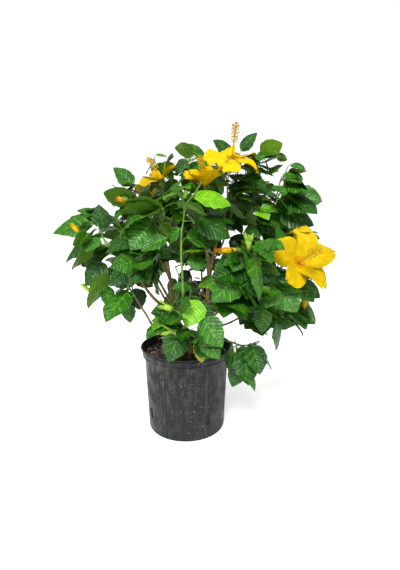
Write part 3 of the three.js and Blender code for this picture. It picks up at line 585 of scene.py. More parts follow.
def pot_finish():
    """Dusty charcoal plastic: pale dust marks, weighted towards the top and the left as painted light,
    specks, stains, and lines of painted shade and highlight by the flutes.
    """
    plastic = Finish("dusty_plastic", (0.03, 0.032, 0.034), 0.55, Specular_IOR_Level=0.3)
    spot = plastic.place()
    axes = plastic.node("SeparateXYZ", Vector=spot)
    # Painted light: the pale dust marks grow towards the top and the left, where the key light falls.
    aside = plastic.math("MULTIPLY", axes.outputs["X"], 0.9)
    height = plastic.math("SUBTRACT", axes.outputs["Z"], aside)
    painted_light_toward_top_left = plastic.node("MapRange", Value=height, From_Min=0.02, From_Max=0.3, To_Min=0.12)
    dust = plastic.group(PATCHES, Vector=spot, Scale=30.0, From=0.36, To=0.66)
    colour = plastic.blend(dust, (0.002, 0.003, 0.003), (0.009, 0.0105, 0.010))
    dust_streaks_and_painted_light = plastic.group(PATCHES, Vector=plastic.place((1, 1, 0.35)), Scale=80.0, From=0.42, To=0.78)
    dust_streaks_and_painted_light = plastic.math("MULTIPLY", dust_streaks_and_painted_light, painted_light_toward_top_left.outputs["Result"])
    colour = plastic.blend(dust_streaks_and_painted_light, colour, (0.06, 0.064, 0.062))
    stain = plastic.group(PATCHES, Vector=spot, Scale=9.0, From=0.56, To=0.7)
    colour = plastic.blend(plastic.math("MULTIPLY", stain, 0.35), colour, (0.045, 0.038, 0.022))
    # Painted shade in the flutes and painted highlight beside them.
    colour = painted_flute_shade_and_highlight(plastic, axes, colour)
    plastic.colour(pale_specks(plastic, spot, colour))
    plastic.roughness(dust, 0.42, 0.72)
    grain = plastic.node("TexNoise", Vector=spot, Scale=420.0, Detail=4.0)
    plastic.bump(grain.outputs["Fac"], 0.4, 0.0012)
    return plastic.material


def wall_radius(z):
    share = (z - BASE_EDGE) / (POT_HEIGHT - BAND_HEIGHT - BASE_EDGE)
    return BASE_RADIUS + (WALL_TOP_RADIUS - BASE_RADIUS) * share


def turned(name, rings):
    """A closed round shape: a disc drawn up through rings of (radius, height) to its other end."""
    deselect()
    first, low = rings[0]
    bpy.ops.mesh.primitive_circle_add(
        vertices=POT_SIDES, radius=first * MM, fill_type="NGON", location=(0, 0, low * MM)
    )
    piece = bpy.context.object
    piece.name = name
    bpy.ops.object.mode_set(mode="EDIT")
    bpy.ops.mesh.select_all(action="SELECT")
    for (was, below), (radius, height) in zip(rings, rings[1:]):
        rise = {"value": (0, 0, (height - below) * MM)}
        bpy.ops.mesh.extrude_region_move(TRANSFORM_OT_translate=rise)
        bpy.ops.transform.resize(value=(radius / was, radius / was, 1), center_override=(0, 0, 0))
    bpy.ops.object.mode_set(mode="OBJECT")
    settle(piece)
    return piece


def wall_cutter(azimuth, width, low, high, depth, rounding):
    """A bar that cuts into the pot's wall at an azimuth, leaning with the wall."""
    deselect()
    reach = 14
    middle = (low + high) / 2
    lean = math.atan2(wall_radius(high) - wall_radius(low), high - low)
    turn = math.radians(azimuth)
    out = wall_radius(middle) - depth + reach / 2
    bpy.ops.mesh.primitive_cube_add(
        size=1,
        location=(math.sin(turn) * out * MM, -math.cos(turn) * out * MM, middle * MM),
        rotation=(lean, 0, turn),
        scale=(width * MM, reach * MM, (high - low) * MM),
    )
    cutter = bpy.context.object
    settle(cutter)
    apply(cutter, "BEVEL", width=rounding * MM, segments=4, limit_method="ANGLE")
    return cutter


def carve(piece, cutter):
    apply(piece, "BOOLEAN", operation="DIFFERENCE", solver="EXACT", object=cutter)
    bpy.data.objects.remove(cutter)


def make_pot():
    band_bottom = POT_HEIGHT - BAND_HEIGHT
    lip_bottom = POT_HEIGHT - LIP_HEIGHT
    inner = BAND_RADIUS - WALL
    rings = [(BASE_RADIUS - BASE_EDGE, 0)]
    for step in range(1, 5):
        turn = math.radians(22.5 * step)
        rings.append((BASE_RADIUS - BASE_EDGE * (1 - math.sin(turn)), BASE_EDGE * (1 - math.cos(turn))))
    rings += [(wall_radius(z), z) for z in (30, 80, 130, 180, WALL_TOP)]
    rings += [
        (WALL_TOP_RADIUS + 1, band_bottom - 4),
        (BAND_RADIUS - 2.4, band_bottom - 1.5),
        (BAND_RADIUS - 0.6, band_bottom),
        (BAND_RADIUS - 0.2, band_bottom + 1.4),
        (BAND_RADIUS - 1.2, band_bottom + 2.4),
        (BAND_RADIUS - 1.2, band_bottom + 3.6),
        (BAND_RADIUS, band_bottom + 4.6),
        (BAND_RADIUS, band_bottom + 10.5),
        (BAND_RADIUS + 1, band_bottom + 12),
        (BAND_RADIUS + 1, lip_bottom - 4),
        (BAND_RADIUS - 0.2, lip_bottom - 2.6),
        (BAND_RADIUS + 1.2, lip_bottom - 1),
        (RIM_RADIUS - 1.2, lip_bottom - 0.4),
        (RIM_RADIUS - 0.2, lip_bottom + 0.8),
        (RIM_RADIUS, lip_bottom + 2.4),
        (RIM_RADIUS - 0.6, POT_HEIGHT - 1),
        (RIM_RADIUS - 2, POT_HEIGHT),
        (RIM_RADIUS - LIP_HEIGHT, POT_HEIGHT - 0.4),
        (inner + 0.6, lip_bottom + 2),
        (inner, lip_bottom),
        (inner - 1, band_bottom),
        (wall_radius(WALL_TOP) - WALL, WALL_TOP),
        (BASE_RADIUS - WALL, BASE_EDGE + WALL),
        (BASE_RADIUS - BASE_EDGE, WALL),
    ]
    pot = turned("pot_shell", rings)
    for i in range(FLUTES):
        azimuth = FLUTE_AZIMUTH + 360 * i / FLUTES
        carve(pot, wall_cutter(azimuth, FLUTE_WIDTH, BASE_EDGE, FLUTE_TOP, FLUTE_DEPTH, 0.8))
    for i in range(DRAINS):
        azimuth = FLUTE_AZIMUTH + 360 * i / DRAINS
        top = DRAIN_BOTTOM + DRAIN_HEIGHT
        carve(pot, wall_cutter(azimuth, DRAIN_WIDTH, DRAIN_BOTTOM, top, WALL * 2, 4))
    clean(pot)
    apply(pot, "BEVEL", width=0.4 * MM, segments=2, limit_method="ANGLE", angle_limit=math.radians(40))
    smooth(pot, 34)
    dress(pot, pot_finish())
    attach(pot, "root")
    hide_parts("pot")


def soil_finish():
    mix_soil = Finish("potting_mix", (0.02, 0.013, 0.009), 0.85)
    spot = mix_soil.place()
    brown = mix_soil.group(PATCHES, Vector=spot, Scale=90.0, From=0.45, To=0.65)
    colour = mix_soil.blend(brown, (0.010, 0.008, 0.007), (0.045, 0.026, 0.016))
    mix_soil.colour(colour)
    crumbs = mix_soil.node("TexNoise", Vector=spot, Scale=300.0, Detail=6.0)
    mix_soil.bump(crumbs.outputs["Fac"], 0.8, 0.003)
    return mix_soil.material


def make_soil():
    """The plug of potting mix with a lumpy top, and the chips, fibres and perlite that lie on it."""
    inside = wall_radius(WALL_TOP) - WALL - 0.4
    rings = [(BASE_RADIUS - BASE_EDGE - 4, WALL + GAP), (BASE_RADIUS - WALL - 0.4, BASE_EDGE + WALL + 2)]
    rings += [(inside, WALL_TOP), (inside + 1.6, SOIL_TOP - 1)]
    rings += [(inside * share, SOIL_TOP) for share in np.linspace(0.97, 0.03, 26)]
    soil = turned("soil_bed", rings)
    lumpy = soil.vertex_groups.new(name="top")
    on_top = [v.index for v in soil.data.vertices if v.co.z > (SOIL_TOP - 0.5) * MM]
    lumpy.add(on_top, 1, "REPLACE")
    for name, scale, strength in (("clods", 0.022, 9), ("crumbs", 0.006, 5)):
        apply(soil, "DISPLACE", texture=clouds(name, scale, 4), texture_coords="LOCAL", direction="Z",
              strength=strength * MM, mid_level=0.5, vertex_group="top")
    clean(soil)
    smooth(soil, 60)
    dress(soil, soil_finish())
    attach(soil, "root")
    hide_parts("soil")
    scatter_on(soil)


def chip_finish(name, dark, light):
    chip = Finish(name, light, 0.8)
    grain = chip.group(PATCHES, Vector=chip.place((1, 0.3, 1)), Scale=260.0, From=0.35, To=0.65)
    chip.colour(chip.blend(grain, dark, light))
    rough = chip.node("TexNoise", Vector=chip.place(), Scale=420.0, Detail=4.0)
    chip.bump(rough.outputs["Fac"], 0.5, 0.001)
    return chip.material


def crumb(kind, size, seed):
    """One chip or grain, modelled at the origin: its points in millimetres and its faces."""
    deselect()
    scale = [s * MM for s in size]
    if kind == "chip":
        bpy.ops.mesh.primitive_cube_add(size=1, scale=scale)
    else:
        bpy.ops.mesh.primitive_ico_sphere_add(subdivisions=1, radius=0.5, scale=scale)
    piece = bpy.context.object
    settle(piece)
    if kind == "chip":
        apply(piece, "BEVEL", width=0.5 * MM, segments=1)
    bpy.ops.object.mode_set(mode="EDIT")
    bpy.ops.mesh.select_all(action="SELECT")
    bpy.ops.transform.vertex_random(offset=0.12 * size[2] * MM, seed=seed)
    bpy.ops.object.mode_set(mode="OBJECT")
    points = np.array([v.co[:] for v in piece.data.vertices]) / MM
    faces = [tuple(p.vertices) for p in piece.data.polygons]
    bpy.data.objects.remove(piece)
    return points, faces


def turn_matrix(rand):
    """A turn that mostly keeps a chip lying flat."""
    yaw, tip, roll = rand() * 2 * math.pi, (rand() - 0.5) * 1.1, (rand() - 0.5) * 1.1
    cz, sz, cx, sx, cy, sy = [f(a) for a in (yaw, tip, roll) for f in (math.cos, math.sin)]
    about_z = np.array([[cz, -sz, 0], [sz, cz, 0], [0, 0, 1]])
    about_x = np.array([[1, 0, 0], [0, cx, -sx], [0, sx, cx]])
    about_y = np.array([[cy, 0, sy], [0, 1, 0], [-sy, 0, cy]])
    return about_z @ about_x @ about_y


# Sizes and seeds of the chips of bark and the grains of perlite.
CHIPS = (((13, 7, 3), 3), ((9, 6, 3.4), 5), ((6, 4, 2.4), 8))
GRAINS = (((4.4, 3.6, 3.2), 4), ((3, 2.6, 2.4), 9))
CHIP_COUNT = 420
GRAIN_COUNT = 90
FIBRE_COUNT = 70
SCATTER_RADIUS = 112


def scatter_on(soil):
    chips = [crumb("chip", size, seed) for size, seed in CHIPS]
    grains = [crumb("grain", size, seed) for size, seed in GRAINS]
    rand = seeded(5107)
    litter, perlite, fibres = Batch(), Batch(), Batch()

    def spot():
        radius = SCATTER_RADIUS * math.sqrt(rand())
        turn = rand() * 2 * math.pi
        x, y = radius * math.cos(turn), radius * math.sin(turn)
        hit, place, _, _ = soil.ray_cast(Vector((x * MM, y * MM, 1)), Vector((0, 0, -1)))
        return np.array([x, y, place.z / MM if hit else SOIL_TOP])

    for i in range(CHIP_COUNT):
        points, faces = chips[i % len(chips)]
        size = 0.55 + 0.75 * rand()
        litter.add(points @ turn_matrix(rand).T * size + spot() + [0, 0, 0.6], faces, int(rand() * 3))
    for i in range(GRAIN_COUNT):
        points, faces = grains[i % len(grains)]
        size = 0.5 + 0.6 * rand()
        perlite.add(points @ turn_matrix(rand).T * size + spot() + [0, 0, 0.8], faces, 0)
    for _ in range(FIBRE_COUNT):
        start = spot() + [0, 0, 1.4]
        turn, length = rand() * 2 * math.pi, 8 + 16 * rand()
        ahead = np.array([math.cos(turn), math.sin(turn), 0.0])
        bend = np.array([-ahead[1], ahead[0], 0.3]) * (rand() - 0.5) * length * 0.7
        line = [start + ahead * length * t + bend * (t * t) for t in (0, 0.33, 0.66, 1)]
        fibres.add(*tube(line, [0.35, 0.5, 0.45, 0.25], 4), 0)
    bark_tones = [
        chip_finish("chip_dark", (0.012, 0.009, 0.007), (0.04, 0.028, 0.02)),
        chip_finish("chip_brown", (0.03, 0.018, 0.011), (0.1, 0.06, 0.038)),
        chip_finish("chip_tan", (0.09, 0.04, 0.02), (0.24, 0.13, 0.07)),
    ]
    white = [chip_finish("perlite", (0.5, 0.48, 0.44), (0.78, 0.76, 0.72))]
    straw = [chip_finish("fibre", (0.12, 0.075, 0.03), (0.33, 0.24, 0.13))]
    for name, batch, finishes in (
        ("bark_chips", litter, bark_tones),
        ("perlite", perlite, white),
        ("fibres", fibres, straw),
    ):
        piece = batch.piece(name, finishes)
        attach(piece, "root")


# ---------------------------------------------------------------- limbs
STEM_FOOT = SOIL_TOP + GAP
# Each limb's name, its parent and the share of it where the limb starts, path, radii at its ends, and flare.
LIMBS = [
    ("trunk", None, 0,
     [(14, -28, STEM_FOOT), (-5, -30, 277), (-27, -34, 333), (-34, -28, 372)], (9.5, 6.8), 1.4),
    ("stem_right", None, 0,
     [(48, 12, STEM_FOOT), (54, 2, 330), (62, 0, 400), (70, 0, 468)], (7.5, 4.8), 1.35),
    ("bough_top_left", "trunk", 0.94, [(-46, -12, 450), (-62, -16, 566)], (5.2, 3.4), 0),
    ("bough_left", "trunk", 0.72, [(-80, -52, 381), (-126, -70, 450), (-168, -68, 506)], (4.8, 3), 0),
    ("bough_left_low", "trunk", 0.22, [(-73, -48, 288), (-108, -62, 348), (-132, -72, 394)], (4.2, 2.8), 0),
    ("bough_upper_left", "bough_top_left", 0.42, [(-86, -16, 512), (-116, -22, 562)], (3.8, 2.6), 0),
    ("bough_front_left", "trunk", 0.86, [(-46, -84, 400), (-66, -132, 456)], (4.2, 2.8), 0),
    ("bough_front", "trunk", 0.62, [(-22, -100, 350), (-4, -182, 402)], (4.2, 2.8), 0),
    ("bough_front_low", "trunk", 0.4, [(4, -70, 296), (12, -122, 316)], (3.8, 2.6), 0),
    ("bough_top_right", "stem_right", 0.96, [(86, -10, 540), (108, -30, 618)], (4.4, 3), 0),
    ("bough_top_middle", "stem_right", 0.86, [(60, -44, 500), (46, -84, 574)], (4, 2.8), 0),
    ("bough_top_back", "stem_right", 0.76, [(58, 34, 490), (52, 66, 580)], (4, 2.8), 0),
    ("bough_upper_right", "stem_right", 0.66, [(122, -10, 468), (184, -24, 552)], (4.2, 2.8), 0),
    ("bough_right", "stem_right", 0.44, [(112, -44, 366), (172, -84, 424)], (4.2, 2.8), 0),
    ("bough_front_right", "stem_right", 0.34, [(78, -70, 345), (108, -146, 402)], (4.2, 2.8), 0),
    ("bough_right_low", "stem_right", 0.24, [(100, -20, 302), (158, -52, 338)], (3.8, 2.6), 0),
    ("bough_droop", "stem_right", 0.14, [(86, -54, 276), (118, -100, 280)], (3.4, 2.4), 0),
    ("bough_back_left", "trunk", 0.78, [(-66, 30, 372), (-104, 74, 432)], (4.2, 2.8), 0),
    ("bough_back", "stem_right", 0.56, [(48, 70, 380), (44, 130, 440)], (4.2, 2.8), 0),
    ("bough_back_right", "stem_right", 0.5, [(104, 42, 368), (150, 84, 432)], (4.2, 2.8), 0),
    ("bough_back_low", "stem_right", 0.2, [(38, 58, 284), (32, 104, 318)], (3.8, 2.6), 0),
    ("bough_top_back_left", "bough_top_left", 0.3, [(-58, 32, 462), (-62, 66, 540)], (3.6, 2.6), 0),
    ("bough_top_back_right", "bough_top_back", 0.35, [(92, 46, 500), (118, 72, 560)], (3.6, 2.6), 0),
]
LIMB_STEP = 42
TUBE_STEP = 2.5
NODE_STEP = 19  # between the swollen nodes of a limb
NODE_SWELL = 0.09
NODE_SPREAD = 3.2
COLLAR = 0.55  # how much thicker a bough is where it leaves its parent
COLLAR_REACH = 7
FLARE_REACH = 9
YOUNG_RADIUS = 4.1  # under which bark turns green
YOUNG_SPAN = 1.6


def trace_limbs():
    limbs = {}
    for name, parent, at, path, (thick, thin), flare in LIMBS:
        points = [vec(p) for p in path]
        if parent:
            points.insert(0, limbs[parent]["curve"].at(at))
        curve = Curve(points)
        steps = max(4, round(curve.length() / LIMB_STEP))
        line = curve.points_at(steps)
        radii = [mix(thick, thin, i / steps) for i in range(steps + 1)]
        if flare:
            line.insert(1, mix(line[0], line[1], 0.33))
            radii.insert(1, radii[0] * 1.04)
            radii[0] *= flare
        limbs[name] = dict(curve=curve, line=line, radii=radii, parent=parent, flare=flare, r=(thick, thin))
    return limbs


def limb_tube(limb):
    """A finely ringed limb with swollen nodes, thicker where it leaves its parent or the soil."""
    length = limb["curve"].length()
    steps = round(length / TUBE_STEP)
    radii = []
    for i in range(steps + 1):
        share = i / steps
        run = share * length
        node = math.exp(-(((run % NODE_STEP) - NODE_STEP / 2) ** 2) / NODE_SPREAD)
        if limb["parent"]:
            collar = COLLAR * math.exp(-run / COLLAR_REACH)
        else:
            collar = (limb["flare"] - 1) * math.exp(-run / FLARE_REACH)
        radii.append(spread(limb["r"], share) * (1 + NODE_SWELL * node + collar))
    return limb["curve"].spaced(steps), radii


def bark_finish():
    """Tan bark with fine lengthwise lines, greener where the wood is young."""
    bark = Finish("tan_bark", (0.33, 0.2, 0.1), 0.62)
    lines = bark.group(PATCHES, Vector=bark.place((1, 1, 0.2)), Scale=190.0, From=0.35, To=0.68)
    colour = bark.blend(lines, (0.11, 0.065, 0.016), (0.31, 0.19, 0.05))
    blotch = bark.group(PATCHES, Vector=bark.place(), Scale=45.0, From=0.45, To=0.7)
    colour = bark.blend(bark.math("MULTIPLY", blotch, 0.45), colour, (0.17, 0.125, 0.035))
    youth = bark.node("Attribute", {"attribute_name": "youth"}).outputs["Fac"]
    colour = bark.blend(youth, colour, (0.085, 0.12, 0.03))
    bark.colour(colour)
    ridges = bark.node("TexNoise", Vector=bark.place((1, 1, 0.25)), Scale=420.0, Detail=5.0)
    bark.bump(ridges.outputs["Fac"], 0.6, 0.0012)
    return bark.material


def make_limbs(limbs):
    """Trunk, second stem and boughs in one skin, fused at the forks, with ridged bark."""
    pieces = []
    for name, limb in limbs.items():
        line, radii = limb_tube(limb)
        curve = bpy.data.curves.new(name, "CURVE")
        curve.dimensions = "3D"
        curve.bevel_depth = MM
        curve.bevel_resolution = 4
        curve.use_fill_caps = True
        spline = curve.splines.new("POLY")
        spline.points.add(len(line) - 1)
        for point, place, radius in zip(spline.points, line, radii):
            point.co = (*[c * MM for c in place], 1)
            point.radius = radius
        piece = bpy.data.objects.new(name, curve)
        bpy.context.collection.objects.link(piece)
        choose(piece)
        bpy.ops.object.convert(target="MESH")
        pieces.append(bpy.context.object)
    wood = join(pieces, "limbs")
    apply(wood, "REMESH", mode="VOXEL", voxel_size=1.15 * MM)
    apply(wood, "SMOOTH", factor=0.5, iterations=3)
    for name, scale, strength in (("bark_waves", 0.02, 1.6), ("bark_ridges", 0.0045, 0.9)):
        apply(wood, "DISPLACE", texture=clouds(name, scale), texture_coords="LOCAL", strength=strength * MM)
    smooth(wood, 60)
    mark_youth(wood, limbs)
    dress(wood, bark_finish())
    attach(wood, "root")
    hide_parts(*limbs)


def mark_youth(wood, limbs):
    """0 on old wood and 1 on the thin green ends, by the radius of the nearest limb."""
    count = len(wood.data.vertices)
    places = np.empty(count * 3)
    wood.data.vertices.foreach_get("co", places)
    places = places.reshape(-1, 3) / MM
    best, radius = np.full(count, 1e9), np.zeros(count)
    for limb in limbs.values():
        line, radii = limb["curve"].spaced(24), np.linspace(*limb["r"], 25)
        for p, r in zip(line, radii):
            apart = ((places - p) ** 2).sum(1)
            nearer = apart < best
            best[nearer], radius[nearer] = apart[nearer], r
    youth = np.clip((YOUNG_RADIUS - radius) / YOUNG_SPAN, 0, 1)
    attribute = wood.data.attributes.new("youth", "FLOAT", "POINT")
    attribute.data.foreach_set("value", youth)


# ---------------------------------------------------------------- the rule of growth
SIDE_SHOOTS = 3
SIDE_SHOOT_SPAN = (0.1, 0.8)
SIDE_SHOOT_ANGLE = 52
SIDE_SHOOT_RISE = 0.35
SIDE_SHOOT_LENGTH = (0.4, 0.68)
SHOOT_TURN = 50  # degrees that a shoot may stand off its even turn
SHOOT_SIZES = (1, 0.75, 0.5)
SHOOT_TRIES = (0, 90, 180, 270)
SHOOT_TIP_RADIUS = 1.4
NODE_SPACING = 14
NODE_TURN = 137.5
STALK_LENGTH = (20, 40)
STALK_RADIUS = 1.2
STALK_ANGLE = (72, 36)
STALK_TURN = 40
STALK_RISE = 0.12
STALK_TIP_SHARE = 0.7
LEAF_LENGTH = (76, 108)
LEAF_WIDTH = 0.76
LEAF_WIDEST = 0.36
LEAF_FOLD = 0.16
LEAF_DROOP = (12, 74)
LEAF_ROLL = 26
LEAF_OUTWARD = 1.5
LEAF_LEAN = 0.4  # how far a blade leans out of the crown
LEAF_SHAPE = (LEAF_WIDTH, LEAF_WIDEST, LEAF_FOLD)
TIP_LIFT = 30  # degrees that blades at a shoot's tip hang less
TIP_LEAF_SHARE = 0.62
LEAF_ROOM = 3
LIMB_CLEARANCE = 2.4
SPACE_CLEARANCE = 1
POT_CLEARANCE = 6
TRIES = (0, 115, 235, 60, 180, 300, 30, 210)
TRY_SIZES = (1, 0.84, 0.68)
CROWN_MIDDLE = np.array([39.0, 0, 430])
CROWN_HALVES = np.array([320.0, 270, 330])
# Leaves within this share get the almost black tone, a painted shade.
PAINTED_SHADE_INSIDE = 0.6  # the share of its halves within which leaves are dark
# Places where the crown stays open: x, y, z and radius.
GLADES = np.array([
    (2, -262, 455, 24),
    (3, -262, 500, 24),
    (4, -262, 545, 24),
    (6, -262, 590, 24),
    (0, -130, 300, 22),
    (-1, -185, 312, 20),
    (0, -235, 322, 20),
    (-87, -110, 414, 26),
    (-114, -120, 456, 26),
    (-143, -120, 491, 26),
    (-178, -110, 530, 22),
    (-105, -170, 463, 24),
    (-132, -170, 496, 24),
    (-271, -50, 652, 40),
    (-227, -45, 676, 34),
    (-188, -30, 672, 32),
    (233, -132, 229, 45),
    (228, -132, 275, 35),
    (-264, -100, 559, 26),
    (-92, -30, 758, 32),
])
PETALS = 5
PETAL_SHAPE = (0.8, 0.6, 0.12)
# Room kept free by a bloom, in lengths of its petals: ahead of it, aside, and round its throat.
BLOOM_AHEAD = 2
BLOOM_ASIDE = 0.6
BLOOM_ROUND = 0.36
COLUMN_LENGTH = 1.12
CALYX_LENGTH = 17

# A mass is named after its bough. Its leader is a list of points. A listed leaf is its root, tip,
# the degrees that its face is turned from the front, and its own tone if it has one. A bloom is its throat,
# the way it faces, and its petals' length, spread and turn. A furled one is its root, tip, radius and kind.
MASSES = [
    dict(
        name="top_right", seed=2173, centre=(146, -46, 704), reach=128, petals="bright",
        leader=[(146, -46, 746)],
        leaves=[((147, -14, 772), (190, -18, 814), 45), ((119, -30, 762), (73, -30, 798), 30),
                ((220, -20, 712), (256, -24, 738), 50)],
        blooms=[((117, -95, 740), (0.05, -0.5, 0.87), 70, 88)],
    ),
    dict(
        name="top_middle", seed=1618, centre=(36, -96, 684), reach=131, petals="amber",
        leader=[(36, -106, 740)],
        leaves=[((50, -26, 740), (12, -30, 790), 45), ((6, -58, 744), (-22, -58, 702), 30)],
        blooms=[((51, -160, 664), (-0.12, -0.2, 0.97), 58, 40)],
    ),
    dict(
        name="top_left", seed=1433, centre=(-58, -34, 668), reach=118,
        leader=[(-52, -40, 732)],
        blooms=[((-57, -68, 689), (-0.42, -0.3, 0.85), 54, 62)],
    ),
    dict(
        name="top_back", seed=2136, centre=(46, 92, 684), reach=120,
        leader=[(48, 96, 760)],
    ),
    dict(
        name="top_back_left", seed=1951, centre=(-84, 104, 618), reach=118,
        leader=[(-100, 122, 696)],
        blooms=[((-110, 172, 664), (-0.3, 0.7, 0.65), 66, 66)],
    ),
    dict(
        name="top_back_right", seed=3246, centre=(162, 104, 640), reach=118,
        leader=[(176, 118, 714)],
        leaves=[((160, 112, 640), (152, 100, 572), 15)],
    ),
    dict(
        name="upper_left", seed=1729, centre=(-142, -36, 634), reach=112,
        leader=[(-130, -36, 674)],
        leaves=[((-134, -38, 683), (-184, -42, 726), 40)],
        furled=[((-142, -60, 644), (-176, -64, 646), 9, "spent")],
    ),
    dict(
        name="upper_right", seed=2210, centre=(246, -40, 622), reach=122,
        leader=[(262, -46, 690)],
        leaves=[((262, -42, 674), (293, -46, 720), 48), ((277, -50, 654), (350, -66, 640), 20),
                ((240, -80, 618), (320, -96, 574), 50)],
        furled=[((286, -60, 669), (285, -60, 690), 4, "bud")],
    ),
    dict(
        name="left", seed=2210, centre=(-246, -50, 562), reach=122,
        leader=[(-206, -64, 540), (-226, -60, 586)],
        leaves=[((-212, -48, 572), (-218, -64, 634), 0), ((-252, -44, 538), (-327, -40, 480), 55)],
        furled=[((-258, -50, 546), (-297, -50, 581), 8, "curled")],
    ),
    dict(
        name="right", seed=1914, centre=(258, -126, 462), reach=128,
        leader=[(230, -110, 470), (276, -114, 500)],
        leaves=[((206, -152, 462), (264, -190, 380), 5), ((204, -118, 532), (240, -122, 486), 50),
                ((292, -122, 441), (338, -126, 402), 30)],
        blooms=[((268, -164, 492), (0.22, -0.86, 0.45), 84, 56, -24)],
        furled=[((306, -112, 417), (301, -114, 366), 6, "spent")],
    ),
    dict(
        name="front_left", seed=1433, centre=(-84, -176, 540), reach=120,
        leader=[(-92, -176, 590)],
        leaves=[((-34, -202, 552), (-88, -222, 528), 50)],
    ),
    dict(
        name="front", seed=397, centre=(30, -206, 560), reach=120,
        leader=[(2, -226, 441), (-1, -236, 547), (6, -236, 624), (-9, -230, 650)],
        leaves=[((27, -232, 636), (106, -208, 618), 60, "young"), ((29, -236, 587), (104, -224, 552), 60)],
        furled=[((6, -236, 636), (12, -238, 652), 4, "bud")],
    ),
    dict(
        name="front_right", seed=1211, centre=(124, -206, 474), reach=116,
        leader=[(140, -226, 470), (138, -226, 516)],
        leaves=[((121, -236, 478), (64, -272, 424), 5, "green"), ((146, -232, 472), (168, -252, 422), 35)],
        furled=[((133, -232, 528), (70, -235, 526), 7, "spent"),
                ((140, -232, 526), (143, -236, 560), 6, "calyx")],
    ),
    dict(
        name="back_left", seed=1988, centre=(-168, 116, 494), reach=122,
        leader=[(-202, 140, 556)],
        leaves=[((-110, 104, 428), (-132, 92, 392), 5)],
    ),
    dict(
        name="back", seed=2210, centre=(40, 208, 506), reach=124,
        leader=[(40, 240, 580)],
        leaves=[((72, 144, 550), (98, 132, 482), 16)],
        blooms=[((70, 246, 548), (0.15, 0.75, 0.65), 66, 64)],
    ),
    dict(
        name="back_right", seed=1951, centre=(224, 116, 500), reach=122,
        leader=[(258, 138, 562)],
        leaves=[((168, 112, 554), (148, 100, 480), 10)],
    ),
    dict(
        name="left_low", seed=656, centre=(-196, -84, 424), reach=120,
        leader=[(-165, -76, 440), (-196, -70, 436)],
        leaves=[((-206, -72, 424), (-202, -88, 370), 35), ((-164, -74, 384), (-200, -84, 350), 50),
                ((-204, -76, 482), (-251, -106, 430), 10), ((-150, -96, 462), (-184, -128, 432), 10),
                ((-138, -32, 410), (-126, -36, 350), 10), ((-166, -14, 402), (-184, -20, 338), 15),
                ((-152, -88, 378), (-142, -92, 328), 20)],
        furled=[((-248, -60, 402), (-277, -66, 430), 5, "bud")],
    ),
    dict(
        name="right_low", seed=397, centre=(240, -84, 356), reach=114,
        leader=[(210, -86, 360), (250, -92, 380)],
        leaves=[((312, -98, 380), (334, -102, 328), 55), ((232, -122, 336), (235, -134, 266), 40),
                ((198, -132, 376), (191, -152, 319), 8), ((174, -94, 374), (141, -104, 326), 10),
                ((192, -56, 340), (160, -58, 302), 15)],
    ),
    dict(
        name="front_low", seed=1877, centre=(10, -184, 350), reach=112,
        leader=[(6, -174, 344), (-8, -204, 384)],
        leaves=[((46, -224, 378), (88, -258, 320), 5, "green"),
                ((36, -212, 414), (9, -236, 358), 10, "young"),
                ((-16, -172, 323), (-36, -192, 285), 5, "green"),
                ((34, -164, 310), (44, -176, 252), 40, "yellowing")],
        furled=[((-22, -200, 390), (-54, -204, 402), 6, "calyx"),
                ((-7, -196, 333), (-48, -206, 341), 7, "calyx")],
    ),
    dict(
        name="back_low", seed=1803, centre=(28, 168, 358), reach=114,
        leader=[(20, 206, 390)],
        leaves=[((8, 116, 438), (-30, 112, 400), 10), ((-36, 120, 412), (-64, 128, 366), 25)],
    ),
    dict(
        name="droop", seed=1914, centre=(152, -132, 236), reach=92,
        leader=[(148, -130, 280), (169, -140, 288), (183, -146, 297)],
        leaves=[((148, -140, 243), (120, -152, 178), 8, "deep"), ((118, -126, 268), (112, -132, 220), 60)],
    ),
]


# ---------------------------------------------------------------- room
def blade_samples():
    """Shares of a leaf's foot, root, right and left corners, tip and middle that make its sample points."""
    foot, root, right, left, tip, middle = np.eye(6)
    edges = [(root, right), (root, left), (right, tip), (left, tip)]
    edges += [(root, tip), (middle, right), (middle, left)]
    rows = [right, left, tip] + [mix(a, b, t) for a, b in edges for t in (0.25, 0.5, 0.75)]
    return np.array(rows), np.array([mix(foot, root, t) for t in (0.35, 0.6, 0.85, 1)])


BLADE_SAMPLES, STALK_SAMPLES = blade_samples()
LEAF_SAMPLES = np.vstack([BLADE_SAMPLES, STALK_SAMPLES])


class Leaf:
    """A leaf or petal: its stalk's foot, and the root, way, face and length of its blade."""

    def __init__(self, foot, root, way, normal, length, shape=LEAF_SHAPE):
        self.foot, self.root, self.way, self.normal, self.length = foot, root, way, normal, length
        self.width, self.widest, fold = shape
        self.across = cross(way, normal)
        self.share = 0.6  # of its shoot
        self.spray = self  # the shoot whose tone it shares
        self.tone = None
        self.loose = 1
        half = length * self.width / 2
        middle = root + way * length * self.widest
        margin = middle + normal * half * fold
        right, left = margin + self.across * half, margin - self.across * half
        corners = np.array([foot, root, right, left, root + way * length, middle])
        self.samples = (BLADE_SAMPLES if shape is PETAL_SHAPE else LEAF_SAMPLES) @ corners


class Blades:
    """Leaves side by side in arrays, to be tested together."""

    def __init__(self, leaves):
        def column(key):
            return np.array([getattr(leaf, key) for leaf in leaves])[:, None]

        self.roots, self.ways = column("root"), column("way")
        self.across, self.normals = column("across"), column("normal")
        self.lengths, self.widths, self.widests = column("length"), column("width"), column("widest")
        self.samples = np.vstack([leaf.samples for leaf in leaves])

    def crossed_by(self, points, room):
        """Whether any of the points comes near any of the blades."""
        away = points - self.roots
        share = (away * self.ways).sum(2) / self.lengths
        taper = np.where(share < self.widests, share / self.widests, (1 - share) / (1 - self.widests))
        beside = np.abs((away * self.across).sum(2)) <= self.lengths * self.widths / 2 * taper + room
        return bool((beside & (taper >= -0.05) & (np.abs((away * self.normals).sum(2)) < room)).any())


